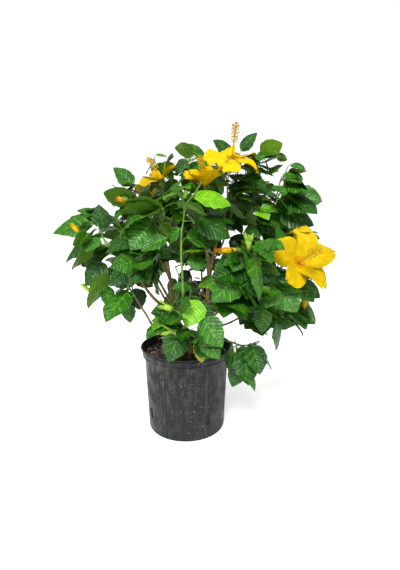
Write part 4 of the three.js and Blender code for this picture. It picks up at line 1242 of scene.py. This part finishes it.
def petals_of(throat_at, face_way, size, spread_angle, turn=0):
    throat, face = vec(throat_at), unit(vec(face_way))
    angle = math.radians(spread_angle)
    petals = []
    for i in range(PETALS):
        out = sideways(face, 360 * i / PETALS + turn)
        way = face * math.cos(angle) + out * math.sin(angle)
        normal = square_to(way, face - out * 0.5)
        petals.append(Leaf(throat - way * 3, throat + way * 2, way, normal, size, PETAL_SHAPE))
    return petals


class Crown:
    """All that a new leaf must keep clear of, as arrays."""

    def __init__(self, limbs):
        self.centres = np.array([m["centre"] for m in MASSES], float)
        self.reaches = np.array([m["reach"] for m in MASSES], float)
        self.leaders = [self.trace_leader(m, limbs["bough_" + m["name"]]) for m in MASSES]
        self.limbs = [(limb["line"], limb["radii"]) for limb in limbs.values()]
        self.blooms = [b for m in MASSES for b in m.get("blooms", [])]
        self.petals = [p for bloom in self.blooms for p in petals_of(*bloom)]
        lines = [line for line, _ in self.limbs + self.leaders]
        for throat, face, size, *_ in self.blooms:
            lines.append([vec(throat), vec(throat) + unit(vec(face)) * size * COLUMN_LENGTH])
        self.limb_points = np.array([p for line in lines for p in Curve(line).spaced(20)])

    @staticmethod
    def trace_leader(mass, limb):
        tip = limb["line"][-1]
        onward = heading(limb["line"][-2], tip)
        start = tip + onward * GAP
        steps = 3 + 2 * len(mass["leader"])
        line = Curve([start, start + onward * 14, *mass["leader"]]).points_at(steps)
        return line, [mix(limb["radii"][-1], SHOOT_TIP_RADIUS, i / steps) for i in range(steps + 1)]

    def near(self, index, place, reach):
        return math.dist(place, self.centres[index]) < self.reaches[index] + reach

    def segments_for(self, index):
        """Pieces of limbs and of other leaders near a mass: their starts, runs, and radii at both ends."""
        tubes = self.limbs + [leader for i, leader in enumerate(self.leaders) if i != index]
        pieces = []
        for line, radii in tubes:
            for i in range(len(line) - 1):
                run = line[i + 1] - line[i]
                if self.near(index, line[i], math.sqrt(run @ run) + 20):
                    pieces.append((line[i], run, radii[i], radii[i + 1]))
        return [np.array(column) for column in zip(*pieces)]

    def blooms_for(self, index):
        """Blooms near a mass: throats, sizes, and the ways that are kept free before each."""
        throats, sizes, ways = [], [], []
        for throat, face, size, *_ in self.blooms:
            if self.near(index, throat, size * 2.4):
                facing = unit(vec(face))
                for way in (facing, unit(facing * [1, 1, 0.25])) + ((FRONT,) if facing[1] < 0 else ()):
                    throats.append(vec(throat))
                    sizes.append(size)
                    ways.append(way)
        return np.array(throats), np.array(sizes), np.array(ways)

    def in_space(self, index, points):
        own = ((points - self.centres[index]) ** 2).sum(1) - self.reaches[index] ** 2
        low = points[:, 2] < POT_HEIGHT + POT_CLEARANCE
        over_pot = np.hypot(points[:, 0], points[:, 1]) < RIM_RADIUS + POT_CLEARANCE
        if (own > 0).any() or (low & over_pot).any():
            return False
        others = np.arange(len(MASSES)) != index
        centres, reaches = self.centres[others], self.reaches[others]
        apart = np.sqrt(((centres - self.centres[index]) ** 2).sum(1))
        power = ((points[:, None] - centres) ** 2).sum(2) - reaches**2
        return bool((power > own[:, None] + 2 * SPACE_CLEARANCE * apart).all())

    @staticmethod
    def clear_of_blooms(blooms, points):
        throats, sizes, ways = blooms
        if not len(throats):
            return True
        away = points[:, None] - throats
        ahead = (away * ways).sum(2)
        apart = (away**2).sum(2)
        aside = np.sqrt(np.maximum(apart - ahead**2, 0))
        before = (ahead >= 0) & (ahead <= sizes * BLOOM_AHEAD) & (aside <= sizes * BLOOM_ASIDE)
        return not (before | (np.sqrt(apart) < sizes * BLOOM_ROUND)).any()

    @staticmethod
    def clear_of_limbs(segments, points, room):
        starts, runs, thick, thin = segments
        away = points[:, None] - starts
        t = np.clip((away * runs).sum(2) / (runs**2).sum(1), 0, 1)
        apart = np.sqrt(((away - runs * t[..., None]) ** 2).sum(2))
        return bool((apart >= mix(thick, thin, t) + room).all())


# ---------------------------------------------------------------- growth
class Grower:
    """One mass of foliage: its shoots and leaves, grown in its own space."""

    def __init__(self, crown, index):
        self.crown, self.index, self.mass = crown, index, MASSES[index]
        self.segments, self.blooms = crown.segments_for(index), crown.blooms_for(index)
        petals = [p for p in crown.petals if crown.near(index, p.root, p.length + 10)]
        self.petals = Blades(petals) if petals else None
        near = [crown.near(index, p, 10) for p in crown.limb_points]
        self.limb_points = crown.limb_points[near]
        self.shoots, self.leaves, self.blades = [], [], None
        self.shoot_points = np.empty((0, 3))

    def has_room(self, leaf, room=LEAF_ROOM, placed=False):
        """Whether a leaf fits. One that is listed may stand in a glade or before a bloom."""
        crown, samples = self.crown, leaf.samples
        if not crown.in_space(self.index, samples):
            return False
        if not placed:
            in_glade = np.linalg.norm(samples[:, None] - GLADES[:, :3], axis=2) <= GLADES[:, 3]
            if in_glade.any() or not crown.clear_of_blooms(self.blooms, samples):
                return False
        if not crown.clear_of_limbs(self.segments, samples, LIMB_CLEARANCE):
            return False
        others = [group for group in (self.petals, self.blades) if group]
        points = np.vstack([self.limb_points, self.shoot_points, *[group.samples for group in others]])
        if Blades([leaf]).crossed_by(points, room):
            return False
        return not any(group.crossed_by(samples, room) for group in others)

    def keep(self, leaf):
        self.leaves.append(leaf)
        self.blades = Blades(self.leaves)

    def grow_leaf(self, shoot, share, number, rand, scale=1.0, room=LEAF_ROOM):
        size_draw, stalk_draw, droop_draw, roll_draw, turn_draw = [rand() for _ in range(5)]
        foot, shoot_way = along(shoot["line"], share)
        outward = unit(foot - CROWN_MIDDLE)
        angle = math.radians(spread(STALK_ANGLE, share))
        for size in TRY_SIZES:
            length = scale * size * spread(LEAF_LENGTH, size_draw) * mix(1, TIP_LEAF_SHARE, share**2)
            for more in TRIES:
                out = sideways(shoot_way, number * NODE_TURN + (turn_draw - 0.5) * STALK_TURN + more)
                stalk = unit(shoot_way * math.cos(angle) + out * math.sin(angle) + UP * STALK_RISE)
                reach = scale * size * spread(STALK_LENGTH, stalk_draw) * mix(1, STALK_TIP_SHARE, share)
                level = unit((stalk + outward * LEAF_LEAN) * [1, 1, 0])
                fall = math.radians(spread(LEAF_DROOP, droop_draw) - TIP_LIFT * share)
                way = level * math.cos(fall) - UP * math.sin(fall)
                normal = square_to(way, UP + outward * LEAF_OUTWARD)
                normal = turn_about(normal, way, (roll_draw - 0.5) * 2 * LEAF_ROLL)
                leaf = Leaf(foot, foot + stalk * reach, way, normal, length)
                if self.has_room(leaf, room):
                    leaf.share = share
                    return leaf
        return None

    def nearest_foot(self, place):
        feet = []
        for shoot in self.shoots:
            share = 0.1
            while share <= 1.001:
                feet.append(along(shoot["line"], min(share, 0.99))[0])
                share += 0.05
        return min(feet, key=lambda foot: math.dist(foot, place))

    def outline_leaf(self, row):
        root, tip, turned_by = vec(row[0]), vec(row[1]), row[2]
        way = heading(root, tip)
        facing = square_to(way, FRONT)
        one, other = [turn_about(facing, way, degrees) for degrees in (turned_by, -turned_by)]
        normal = one if one[2] > other[2] else other
        leaf = Leaf(self.nearest_foot(root), root, way, normal, math.dist(root, tip))
        leaf.tone = row[3] if len(row) > 3 else None
        leaf.loose = 0.35
        return leaf

    def grow_shoot(self, leader, share, number, rand, blades, reach_share=1.0):
        turn, reach = rand(), rand()
        foot, way = along(leader, share)
        crown, angle = self.crown, math.radians(SIDE_SHOOT_ANGLE)
        for shorter in SHOOT_SIZES:
            for more in SHOOT_TRIES:
                out = sideways(way, number * NODE_TURN + (turn - 0.5) * SHOOT_TURN + more)
                go = way * math.cos(angle) + out * math.sin(angle)
                length = self.mass["reach"] * spread(SIDE_SHOOT_LENGTH, reach) * shorter * reach_share
                bend, tip = foot + go * length / 2, foot + unit(go + UP * SIDE_SHOOT_RISE) * length
                line = bent_line(foot, bend, tip, (0, 1 / 3, 2 / 3, 1))
                rest = np.array(line[1:])
                if not crown.in_space(self.index, rest):
                    continue
                if not crown.clear_of_limbs(self.segments, rest, LIMB_CLEARANCE + 1):
                    continue
                places = np.array(Curve(line).spaced(20))
                if not (blades and Blades(blades).crossed_by(places, LEAF_ROOM)):
                    return line
        return None

    def grow(self):
        rand = seeded(self.mass["seed"])
        leader, radii = self.crown.leaders[self.index]
        self.shoots = [dict(line=leader, thick=radii[0], start=0.14)]
        # Side shoots keep clear of the placed leaves, which are then hung on the nearest shoot.
        blades = [self.outline_leaf(row) for row in self.mass.get("leaves", [])]
        for k in range(SIDE_SHOOTS):
            share = spread(SIDE_SHOOT_SPAN, k / (SIDE_SHOOTS - 1))
            line = self.grow_shoot(leader, share, k, rand, blades)
            if line:
                thick = mix(radii[0], SHOOT_TIP_RADIUS, share) * 0.85
                self.shoots.append(dict(line=line, thick=thick, start=0.3))
        for row in self.mass.get("leaves", []):
            leaf = self.outline_leaf(row)
            if self.has_room(leaf, placed=True):
                self.keep(leaf)
        self.note_shoots()
        for shoot in self.shoots:
            self.clothe(shoot, rand)

    def note_shoots(self):
        self.shoot_points = np.array([p for shoot in self.shoots for p in Curve(shoot["line"]).spaced(20)])

    def clothe(self, shoot, rand, offset=0.0, scale=1.0, room=LEAF_ROOM):
        """Leaves from the start of a shoot to its tip."""
        length = Curve(shoot["line"]).length() * (1 - shoot["start"])
        nodes = max(2, round(length / NODE_SPACING))
        for n in range(nodes + 1):
            share = mix(shoot["start"], 0.985, min((n + offset) / nodes, 1))
            leaf = self.grow_leaf(shoot, share, n + 3 * offset, rand, scale, room)
            if leaf:
                leaf.spray = shoot
                self.keep(leaf)


# ---------------------------------------------------------------- finer growth within the same spaces
FINE_TWIGS = 4
FINE_TWIG_SPAN = (0.22, 0.92)
FINE_TWIG_RADIUS = SHOOT_TIP_RADIUS * 1.25
FINE_REACH = 0.62  # of a side shoot's length
FINE_SIZE = 0.8  # of a first leaf's length
FINE_OFFSET = 0.5  # from the first leaves, in their spacing
FINE_ROOM = 1.0
# Masses that keep to the leaves of the first growth.
SPARSE = ("droop", "front", "front_low", "left", "left_low")


def grow_finer(grower):
    """Thin twigs between the side shoots, then smaller leaves between the nodes of all of them."""
    if grower.mass["name"] in SPARSE:
        return
    rand = seeded(grower.mass["seed"] + 7919)
    leader = grower.shoots[0]["line"]
    for k in range(FINE_TWIGS):
        share = spread(FINE_TWIG_SPAN, k / (FINE_TWIGS - 1))
        host = grower.shoots[k % len(grower.shoots)]["line"] if k % 2 else leader
        line = grower.grow_shoot(host, share, k + SIDE_SHOOTS, rand, grower.leaves, FINE_REACH)
        if line:
            twig = dict(line=line, thick=FINE_TWIG_RADIUS, start=0.35)
            grower.shoots.append(twig)
            grower.note_shoots()
            grower.clothe(twig, rand, 0, FINE_SIZE, FINE_ROOM)
    for shoot in grower.shoots:
        grower.clothe(shoot, rand, FINE_OFFSET, FINE_SIZE, FINE_ROOM)


# ---------------------------------------------------------------- leaves as meshes
# Rows across a leaf of length 1: shares along the midrib and the margin, lift between veins, margin's width.
LEAF_ROWS = (
    (0.0, 0.02, 0, 1.0),
    (0.015, 0.12, 1, 1.0),
    (0.026, 0.222, 0, 1.03),
    (0.05, 0.236, 0, 1.03),
    (0.13, 0.35, 1, 0.955),
    (0.208, 0.45, 0, 1.03),
    (0.232, 0.463, 0, 1.03),
    (0.31, 0.57, 1, 0.945),
    (0.394, 0.672, 0, 1.04),
    (0.416, 0.683, 0, 1.04),
    (0.575, 0.815, 0, 1.0),
    (0.594, 0.824, 0, 1.0),
    (0.76, 0.91, 0, 1.06),
)
VEIN_ROWS = (2, 5, 8, 10)
COLUMNS = (-1, -0.5, 0, 0, 0.5, 1)
BLADE_WIDTH = 0.8
RIB_HALF = 0.014
VEIN_LIFT = 0.014
# How single leaves differ: stretch across, arch, fold at the midrib, and height and number of margin waves.
BLADE_STRETCH = (0.86, 1.12)
BLADE_ARCH = (0.05, 0.2)
BLADE_FOLD = (-0.02, 0.3)
BLADE_WAVE = (0.0, 0.035)
BLADE_BEAT = (1.2, 2.6)
# The most that a leaf is twisted, bent aside, rolled and pitched, from one end of the range to the other.
BLADE_TWIST = 0.9
BLADE_BEND = 0.12
BLADE_ROLL = 1.2
BLADE_PITCH = 0.5
MARGIN_FALL = 0.22
FULL_TURN = 6.28


def half_width(t):
    """Half the blade's width at a share of its length: round at the base and pointed at the tip."""
    if t < LEAF_WIDEST:
        return BLADE_WIDTH / 2 * math.sin(math.pi / 2 * t / LEAF_WIDEST) ** 0.55
    return BLADE_WIDTH / 2 * math.cos(math.pi / 2 * (t - LEAF_WIDEST) / (1 - LEAF_WIDEST)) ** 0.9


def leaf_pattern():
    """A flat leaf of length 1: points (across, along, lift between veins) and faces with 1 for the veins."""
    points, faces, veins = [], [], []
    for rib, margin, lift, tooth in LEAF_ROWS:
        edge = half_width(margin) * tooth
        rib_half = RIB_HALF * (1 - 0.7 * rib)
        for c, column in enumerate(COLUMNS):
            if c in (2, 3):
                points.append((rib_half * (-1 if c == 2 else 1), rib, 0))
            else:
                x = mix(rib_half, edge, abs(column)) * math.copysign(1, column)
                points.append((x, mix(rib, margin, abs(column)), lift * (1.4 - abs(column))))
    points.append((0, 1, 0))
    wide = len(COLUMNS)
    for r in range(len(LEAF_ROWS)):
        for c in range(wide - 1):
            low = r * wide + c
            if r < len(LEAF_ROWS) - 1:
                faces.append((low, low + 1, low + wide + 1, low + wide))
            else:
                faces.append((low, low + 1, len(points) - 1))
            veins.append(1 if r in VEIN_ROWS or c == 2 else 0)
    return np.array(points), faces, np.array(veins)


LEAF_POINTS, LEAF_FACES, LEAF_VEINS = leaf_pattern()
LEAF_PLACES = LEAF_POINTS * [1, 1, 0]


def leaf_points(leaf, rand):
    """The pattern laid on a leaf's root, way and face, and arched, folded, waved and twisted a little."""
    x, y, lift = LEAF_POINTS.T
    x = x * spread(BLADE_STRETCH, rand())
    arch = spread(BLADE_ARCH, rand())
    fold = spread(BLADE_FOLD, rand())
    wave = spread(BLADE_WAVE, rand())
    beat = spread(BLADE_BEAT, rand())
    phase = rand() * FULL_TURN
    twist = (rand() - 0.5) * BLADE_TWIST
    side = (rand() - 0.5) * BLADE_BEND
    edge = np.abs(x) / (BLADE_WIDTH / 2)
    z = fold * np.abs(x) - arch * 4 * (y - 0.5) ** 2 * 0.5 + arch * 0.5 + VEIN_LIFT * lift
    z = z + wave * edge**1.5 * np.sin(FULL_TURN * beat * y + phase + np.sign(x))
    z = z - MARGIN_FALL * edge**2 * np.abs(x)
    roll = (rand() - 0.5) * BLADE_ROLL * leaf.loose
    pitch = (rand() - 0.5) * BLADE_PITCH * leaf.loose
    turn = roll + twist * (y - 0.3)
    across = x * np.cos(turn) - z * np.sin(turn) + side * y * (1 - y) * 2
    rise = x * np.sin(turn) + z * np.cos(turn)
    y, rise = y * math.cos(pitch) - rise * math.sin(pitch), y * math.sin(pitch) + rise * math.cos(pitch)
    shape = across[:, None] * leaf.across + y[:, None] * leaf.way + rise[:, None] * leaf.normal
    return leaf.root + leaf.length * shape


def stalk_tube(leaf):
    """A leaf stalk that leaves its shoot straight and bends into the leaf."""
    radius = STALK_RADIUS * mix(0.6, 1, leaf.length / 100)
    bend = leaf.root - leaf.way * math.dist(leaf.foot, leaf.root) * 0.3
    line = bent_line(leaf.foot, bend, leaf.root, (0, 0.35, 0.7, 1))
    line.append(leaf.root + leaf.way * 1.5)
    return tube(line, [radius * k for k in (1.25, 1, 0.85, 0.8, 0.5)], 5)


# Leaf tones, first an almost black one that is painted shade for leaves inside the crown, then from old
# leaves to young, each a blade colour, its mottling and its underside, then its veins, whose paler colour is
# partly their own and partly a painted highlight.
LEAF_TONES = {
    # Painted shade: an almost black tone for the leaves deep inside the crown.
    "inner": ((0.006, 0.035, 0.001), (0.003, 0.018, 0.001), (0.03, 0.08, 0.004), (0.025, 0.1, 0.008)),
    "deep": ((0.014, 0.082, 0.002), (0.006, 0.042, 0.001), (0.06, 0.15, 0.008), (0.08, 0.26, 0.02)),
    "green": ((0.03, 0.15, 0.003), (0.014, 0.085, 0.002), (0.08, 0.2, 0.01), (0.13, 0.36, 0.03)),
    "bright": ((0.09, 0.27, 0.004), (0.05, 0.19, 0.003), (0.14, 0.31, 0.012), (0.2, 0.46, 0.04)),
    "young": ((0.16, 0.44, 0.005), (0.1, 0.33, 0.004), (0.22, 0.45, 0.015), (0.3, 0.6, 0.04)),
    "yellowing": ((0.42, 0.42, 0.01), (0.2, 0.32, 0.01), (0.36, 0.38, 0.03), (0.5, 0.5, 0.05)),
}
TONE_NAMES = list(LEAF_TONES)
# The draw from 0 up under which a leaf gets each tone. Over them all it is young.
TONE_LIMITS = {"deep": 0.5, "green": 0.87, "bright": 1.12}
TIP_DRAW = 0.22  # how much higher a leaf near its shoot's tip draws


def leaf_finishes():
    sheen = {"Specular_IOR_Level": 0.4}
    finishes = []
    for name, (blade, shade, under, vein_and_highlight) in LEAF_TONES.items():
        finishes.append(plant_finish("leaf_" + name, blade, shade, 0.4, under, 75.0, True, **sheen))
        # The faces along the veins get a paler green, partly the veins' own colour and partly a painted
        # highlight of the gloss along them.
        finishes.append(plant_finish("veins_" + name, vein_and_highlight, blade, 0.45, under, 75.0, True, **sheen))
    return finishes


REGIONS = {
    "crown_top": ("top_right", "top_middle", "top_left", "top_back", "top_back_left", "top_back_right"),
    "crown_left": ("upper_left", "left", "left_low", "back_left"),
    "crown_right": ("upper_right", "right", "right_low", "back_right", "droop"),
    "crown_front": ("front_left", "front", "front_right", "front_low"),
    "crown_back": ("back", "back_low"),
}


def spray_tone(draw, leaf):
    """Leaves inside the crown get an almost black tone as painted shade, old ones are deep green, and the
    ends of shoots brighter.
    """
    middle = leaf.root + leaf.way * leaf.length / 2
    if np.linalg.norm((middle - CROWN_MIDDLE) / CROWN_HALVES) < PAINTED_SHADE_INSIDE:
        return "inner"
    draw += TIP_DRAW * (leaf.share > 0.8)
    for tone, limit in TONE_LIMITS.items():
        if draw < limit:
            return tone
    return "young"


def make_foliage(growers):
    finishes = leaf_finishes()
    tone_draw, shape_draw = seeded(3301), seeded(9173)
    for region, names in REGIONS.items():
        batch = Batch()
        for grower in [g for g in growers if g.mass["name"] in names]:
            tones = {}
            for leaf in grower.leaves:
                tones.setdefault(id(leaf.spray), tone_draw())
                tone = leaf.tone or spray_tone((tones[id(leaf.spray)] + tone_draw()) / 2, leaf)
                slots = TONE_NAMES.index(tone) * 2 + LEAF_VEINS
                batch.add(leaf_points(leaf, shape_draw), LEAF_FACES, slots.tolist(), LEAF_PLACES)
        piece = batch.piece(f"leaves_{region}", finishes)
        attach(piece, "root")
        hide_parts(*["foliage_" + name for name in names])
    make_shoots(growers)


OLD_SHOOT = 2.3  # radius over which a side shoot is brown


def make_shoots(growers):
    shoots, stalks = Batch(), Batch()
    for grower in growers:
        for i, shoot in enumerate(grower.shoots):
            curve = Curve(shoot["line"])
            steps = max(6, round(curve.length() / 5))
            radii = []
            for n in range(steps + 1):
                node = 1 + 0.16 * (n % 3 == 0)
                radii.append(mix(shoot["thick"], SHOOT_TIP_RADIUS, n / steps) * node)
            shoots.add(*tube(curve.spaced(steps), radii, 7), 0 if shoot["thick"] > OLD_SHOOT and i else 1)
        for leaf in grower.leaves:
            stalks.add(*stalk_tube(leaf), 0)
    brown_green = plant_finish("shoot_brown_green", (0.11, 0.12, 0.035), (0.07, 0.075, 0.025), 0.5)
    fresh = plant_finish("shoot_green", (0.12, 0.27, 0.03), (0.07, 0.18, 0.02), 0.45)
    stalk = plant_finish("stalk_green", (0.13, 0.27, 0.035), (0.08, 0.2, 0.025), 0.45)
    for name, batch, finishes in (
        ("shoots", shoots, [brown_green, fresh]),
        ("leaf_stalks", stalks, [stalk]),
    ):
        piece = batch.piece(name, finishes)
        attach(piece, "root")


# ---------------------------------------------------------------- blooms
PETAL_ROWS, PETAL_COLUMNS = 12, 13
PETAL_CURL = 0.2
STAMENS = 64
BRACTS = 7
BRACT_TURN = 51.4
PETAL_WIDEST = 0.66  # share of the length
# Petal tones: colour, mottling and roughness. The bright tone on the top bloom and the tone below it are
# lighter copies of the petal yellow: painted light.
PETAL_TONES = {
    "yellow": ((0.52, 0.375, 0.001), (0.43, 0.27, 0.001), 0.6),
    "throat": ((0.5, 0.26, 0.001), (0.42, 0.18, 0.001), 0.6),
    "spent": ((0.5, 0.32, 0.006), (0.38, 0.17, 0.005), 0.65),
    "withered": ((0.34, 0.15, 0.01), (0.2, 0.075, 0.008), 0.7),
    "bright": ((0.74, 0.47, 0.003), (0.66, 0.38, 0.002), 0.6),
    # Painted light: a lighter copy of the petal yellow for a bloom whose petals lie in shade.
    "amber": ((0.62, 0.41, 0.001), (0.5, 0.27, 0.001), 0.6),
}
PETAL_NAMES = list(PETAL_TONES)
# Places of the finishes on the calyxes and buds, and on the stamen columns.
GREEN_CUP, GREEN_STALK, LIME = 0, 1, 2
COLUMN, ANTHER, STIGMA = 0, 1, 2


def petal_half(s):
    """Half the petal's width at a share of its length: a narrow claw, then broad and round."""
    if s < PETAL_WIDEST:
        return 0.06 + 0.36 * math.sin(math.pi / 2 * s / PETAL_WIDEST) ** 1.2
    return 0.42 * max(1 - ((s - PETAL_WIDEST) / 0.34) ** 2.4, 0.02) ** 0.55


def petal_grid(petal, rand, slot):
    """A ruffled, pleated and slightly twisted petal, in the throat's tone at its claw."""
    points, faces, slots = [], [], []
    phase, twist = rand() * FULL_TURN, 0.35 + 0.25 * rand()
    droop = PETAL_CURL * mix(0.7, 1.3, rand())
    for r in range(PETAL_ROWS):
        s = r / (PETAL_ROWS - 1)
        half = petal_half(s)
        for c in range(PETAL_COLUMNS):
            t = 2 * c / (PETAL_COLUMNS - 1) - 1
            x = half * t
            end = s + 0.045 * math.sin(9 * t + phase) * s**3 - 0.05 * t * t * s * s
            ruffle = 0.08 * abs(t) ** 1.5 * math.sin(7 * s + 2 * math.copysign(1, t) + phase) * s
            pleat = 0.011 * math.cos(t * 18) * s * (1.2 - s)
            z = 0.16 * abs(x) - droop * s**2.2 + ruffle + pleat + 0.02 * math.sin(phase + 5 * t) * s**3
            turn = twist * s
            across = x * math.cos(turn) - z * math.sin(turn)
            rise = x * math.sin(turn) + z * math.cos(turn)
            place = across * petal.across + end * petal.way + rise * petal.normal
            points.append(petal.root + petal.length * place)
    for r in range(PETAL_ROWS - 1):
        for c in range(PETAL_COLUMNS - 1):
            a = r * PETAL_COLUMNS + c
            faces.append((a, a + 1, a + PETAL_COLUMNS + 1, a + PETAL_COLUMNS))
            slots.append(1 if r < 2 else slot)
    return points, faces, slots


def bead(centre, radius):
    """A small eight-sided grain."""
    ways = [(1, 0, 0), (-1, 0, 0), (0, 1, 0), (0, -1, 0), (0, 0, 1), (0, 0, -1)]
    points = [centre + radius * vec(w) for w in ways]
    faces = [(0, 2, 4), (2, 1, 4), (1, 3, 4), (3, 0, 4), (2, 0, 5), (1, 2, 5), (3, 1, 5), (0, 3, 5)]
    return points, faces


def add_column(batch, throat, face, size, rand):
    """The stamen column: a tube, a brush of threads with anthers, and five stigma lobes."""
    lift = sideways(face, 90) * size * 0.06
    shares = (-0.05, 0.2, 0.45, 0.7, 0.9, 1)
    line = [throat + face * size * COLUMN_LENGTH * t + lift * t * t for t in shares]
    batch.add(*tube(line, [2.8, 2.3, 2.0, 1.8, 1.4, 0.9], 8), COLUMN)
    for i in range(STAMENS):
        share = mix(0.42, 0.94, i / (STAMENS - 1))
        foot, way = along(line, share)
        out = unit(sideways(way, i * NODE_TURN) + way * (0.25 + 0.3 * rand()))
        end = foot + out * mix(6, 11, rand()) * size / 70
        batch.add(*tube([foot, end], [0.35, 0.25], 4), COLUMN)
        batch.add(*bead(end, mix(1.4, 2.1, rand())), ANTHER)
    tip, way = line[-1], heading(line[-2], line[-1])
    for i in range(PETALS):
        end = tip + unit(way + sideways(way, 360 / PETALS * i) * 0.7) * 5
        batch.add(*tube([tip - way, end], [0.5, 0.4], 4), COLUMN)
        batch.add(*bead(end, 1.5), STIGMA)


def pointed_blade(root, way, normal, length, width, bend):
    """A narrow bract or calyx tooth: a folded point of six faces."""
    across = cross(way, normal)
    points = []
    for t, half in ((0, 0.5), (0.35, 1), (0.7, 0.6)):
        middle = root + way * length * t + normal * bend * length * t * t
        aside = across * width / 2 * half
        points += [middle - aside, middle - normal * width * 0.12, middle + aside]
    points.append(root + way * length + normal * bend * length)
    faces = []
    for r in (0, 3):
        faces += [(r, r + 1, r + 4, r + 3), (r + 1, r + 2, r + 5, r + 4)]
    faces += [(6, 7, 9), (7, 8, 9)]
    return points, faces


def add_calyx(batch, back, face, length, radius, open_by, slot):
    """A green cup with five teeth, and a ring of narrow bracts below it."""
    rings = [back + face * length * t for t in (0, 0.2, 0.5, 0.72)]
    batch.add(*tube(rings, [radius * 0.5, radius * 0.9, radius, radius * 0.95], 10), slot)
    for i in range(PETALS):
        out = sideways(face, 360 / PETALS * i + 30)
        root = back + face * length * 0.62 + out * radius * 0.85
        way = unit(face + out * open_by)
        tooth = pointed_blade(root, way, square_to(way, -out), length * 0.62, radius * 1.2, -0.15)
        batch.add(*tooth, slot)
    for i in range(BRACTS):
        out = sideways(face, BRACT_TURN * i)
        way = unit(face * 0.5 + out)
        root = back + out * radius * 0.4
        batch.add(*pointed_blade(root, way, square_to(way, face), length * 0.55, 2.2, 0.3), slot)


def add_stalk(batch, foot, knee, end):
    line = bent_line(foot, knee, end, np.linspace(0, 1, 8))
    batch.add(*tube(line, [1.5, 1.35, 1.25, 1.2, 1.2, 1.25, 1.4, 1.8], 6), GREEN_STALK)


def add_bloom(petals, columns, greens, grower, bloom, rand):
    throat_at, face_way, size = bloom[:3]
    throat, face = vec(throat_at), unit(vec(face_way))
    back = throat - face * CALYX_LENGTH
    foot = grower.nearest_foot(back)
    add_stalk(greens, foot, mix(foot, back, 0.6) - face * 9, back + face * 2)
    add_calyx(greens, back, face, CALYX_LENGTH * 1.1, 5, 0.35, GREEN_CUP)
    tone = PETAL_NAMES.index(grower.mass.get("petals", "yellow"))
    for petal in petals_of(*bloom):
        petals.add(*petal_grid(petal, rand, tone))
    add_column(columns, throat, face, size, rand)


def rolled_petals(root, tip, radius, rand):
    """A flower rolled up on itself: a pleated, swelling tube with a frilled end."""
    sides, steps = 15, 12
    face = heading(root, tip)
    across = sideways(face, 0)
    third = cross(face, across)
    points = []
    for n in range(steps + 1):
        t = n / steps
        centre = mix(root, tip, 0.1 + 0.9 * t) + third * math.sin(t * 5) * radius * 0.12
        swell = 0.55 + 0.5 * math.sin(math.pi * min(t * 1.1, 1)) + 0.25 * t
        for s in range(sides):
            turn = 2 * math.pi * s / sides + t * 2.2
            pleat = 1 + 0.22 * math.cos(5 * 2 * math.pi * s / sides) + 0.1 * (rand() - 0.5)
            reach = radius * 0.78 * swell * pleat
            frill = face * radius * 0.35 * math.cos(3 * turn) * t**4
            points.append(centre + across * math.cos(turn) * reach + third * math.sin(turn) * reach + frill)
    return points, tube_faces(steps + 1, sides)


def add_furled(petals, greens, grower, furled, rand):
    """A bud, a spent flower rolled up on itself, or an empty calyx."""
    root_at, tip_at, radius, kind = furled
    root, tip = vec(root_at), vec(tip_at)
    face, length = heading(root, tip), math.dist(root, tip)
    foot = grower.nearest_foot(root)
    add_stalk(greens, foot, mix(foot, root, 0.7) - face * 8, root + face * 2)
    if kind == "calyx":
        add_calyx(greens, root, face, length * 0.95, radius * 1.3, 0.3, LIME)
    elif kind == "bud":
        line = [mix(root, tip, t) for t in (0.05, 0.25, 0.5, 0.75, 0.93, 1)]
        greens.add(*tube(line, [radius * k for k in (0.5, 0.95, 1, 0.7, 0.3, 0.1)], 9), LIME)
        add_calyx(greens, root, face, length * 0.8, radius * 1.05, 0.05, LIME)
    else:
        add_calyx(greens, root, face, min(length * 0.45, 16), radius * 0.75, 0.15, GREEN_STALK)
        points, faces = rolled_petals(root, tip, radius, rand)
        names = ("bright", "yellow") if kind == "curled" else ("spent", "withered")
        low, high = [PETAL_NAMES.index(name) for name in names]
        petals.add(points, faces, [low if f < len(faces) * 0.75 else high for f in range(len(faces))])


def make_flowers(growers):
    petals, columns, greens = Batch(), Batch(), Batch()
    rand = seeded(6121)
    for grower in growers:
        for bloom in grower.mass.get("blooms", []):
            add_bloom(petals, columns, greens, grower, bloom, rand)
        for furled in grower.mass.get("furled", []):
            add_furled(petals, greens, grower, furled, rand)
    dull = {"mottle": 70.0, "Specular_IOR_Level": 0.08}
    petal_finishes = [plant_finish("petal_" + name, *tone, **dull) for name, tone in PETAL_TONES.items()]
    column = plant_finish("column_gold", (0.62, 0.42, 0.012), (0.5, 0.3, 0.01), 0.5, **dull)
    anther = plant_finish("anther_gold", (0.6, 0.4, 0.012), (0.42, 0.25, 0.01), 0.6, **dull)
    stigma = plant_finish("stigma_orange", (0.55, 0.26, 0.02), (0.45, 0.18, 0.015), 0.5, **dull)
    cup = plant_finish("calyx_green", (0.1, 0.26, 0.03), (0.06, 0.17, 0.02), 0.45)
    stalk = plant_finish("flower_stalk", (0.11, 0.23, 0.03), (0.07, 0.15, 0.02), 0.45)
    lime = plant_finish("calyx_lime", (0.33, 0.5, 0.04), (0.2, 0.38, 0.03), 0.45)
    for name, batch, finishes in (
        ("petals", petals, petal_finishes),
        ("stamen_columns", columns, [column, anther, stigma]),
        ("calyxes_and_buds", greens, [cup, stalk, lime]),
    ):
        piece = batch.piece(name, finishes)
        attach(piece, "root")


# ---------------------------------------------------------------- the shrub
set_camera()
set_studio()
make_pot()
make_soil()
limbs = trace_limbs()
make_limbs(limbs)
crown = Crown(limbs)
growers = [Grower(crown, i) for i in range(len(MASSES))]
for grower in growers:
    grower.grow()
    grow_finer(grower)
make_foliage(growers)
make_flowers(growers)
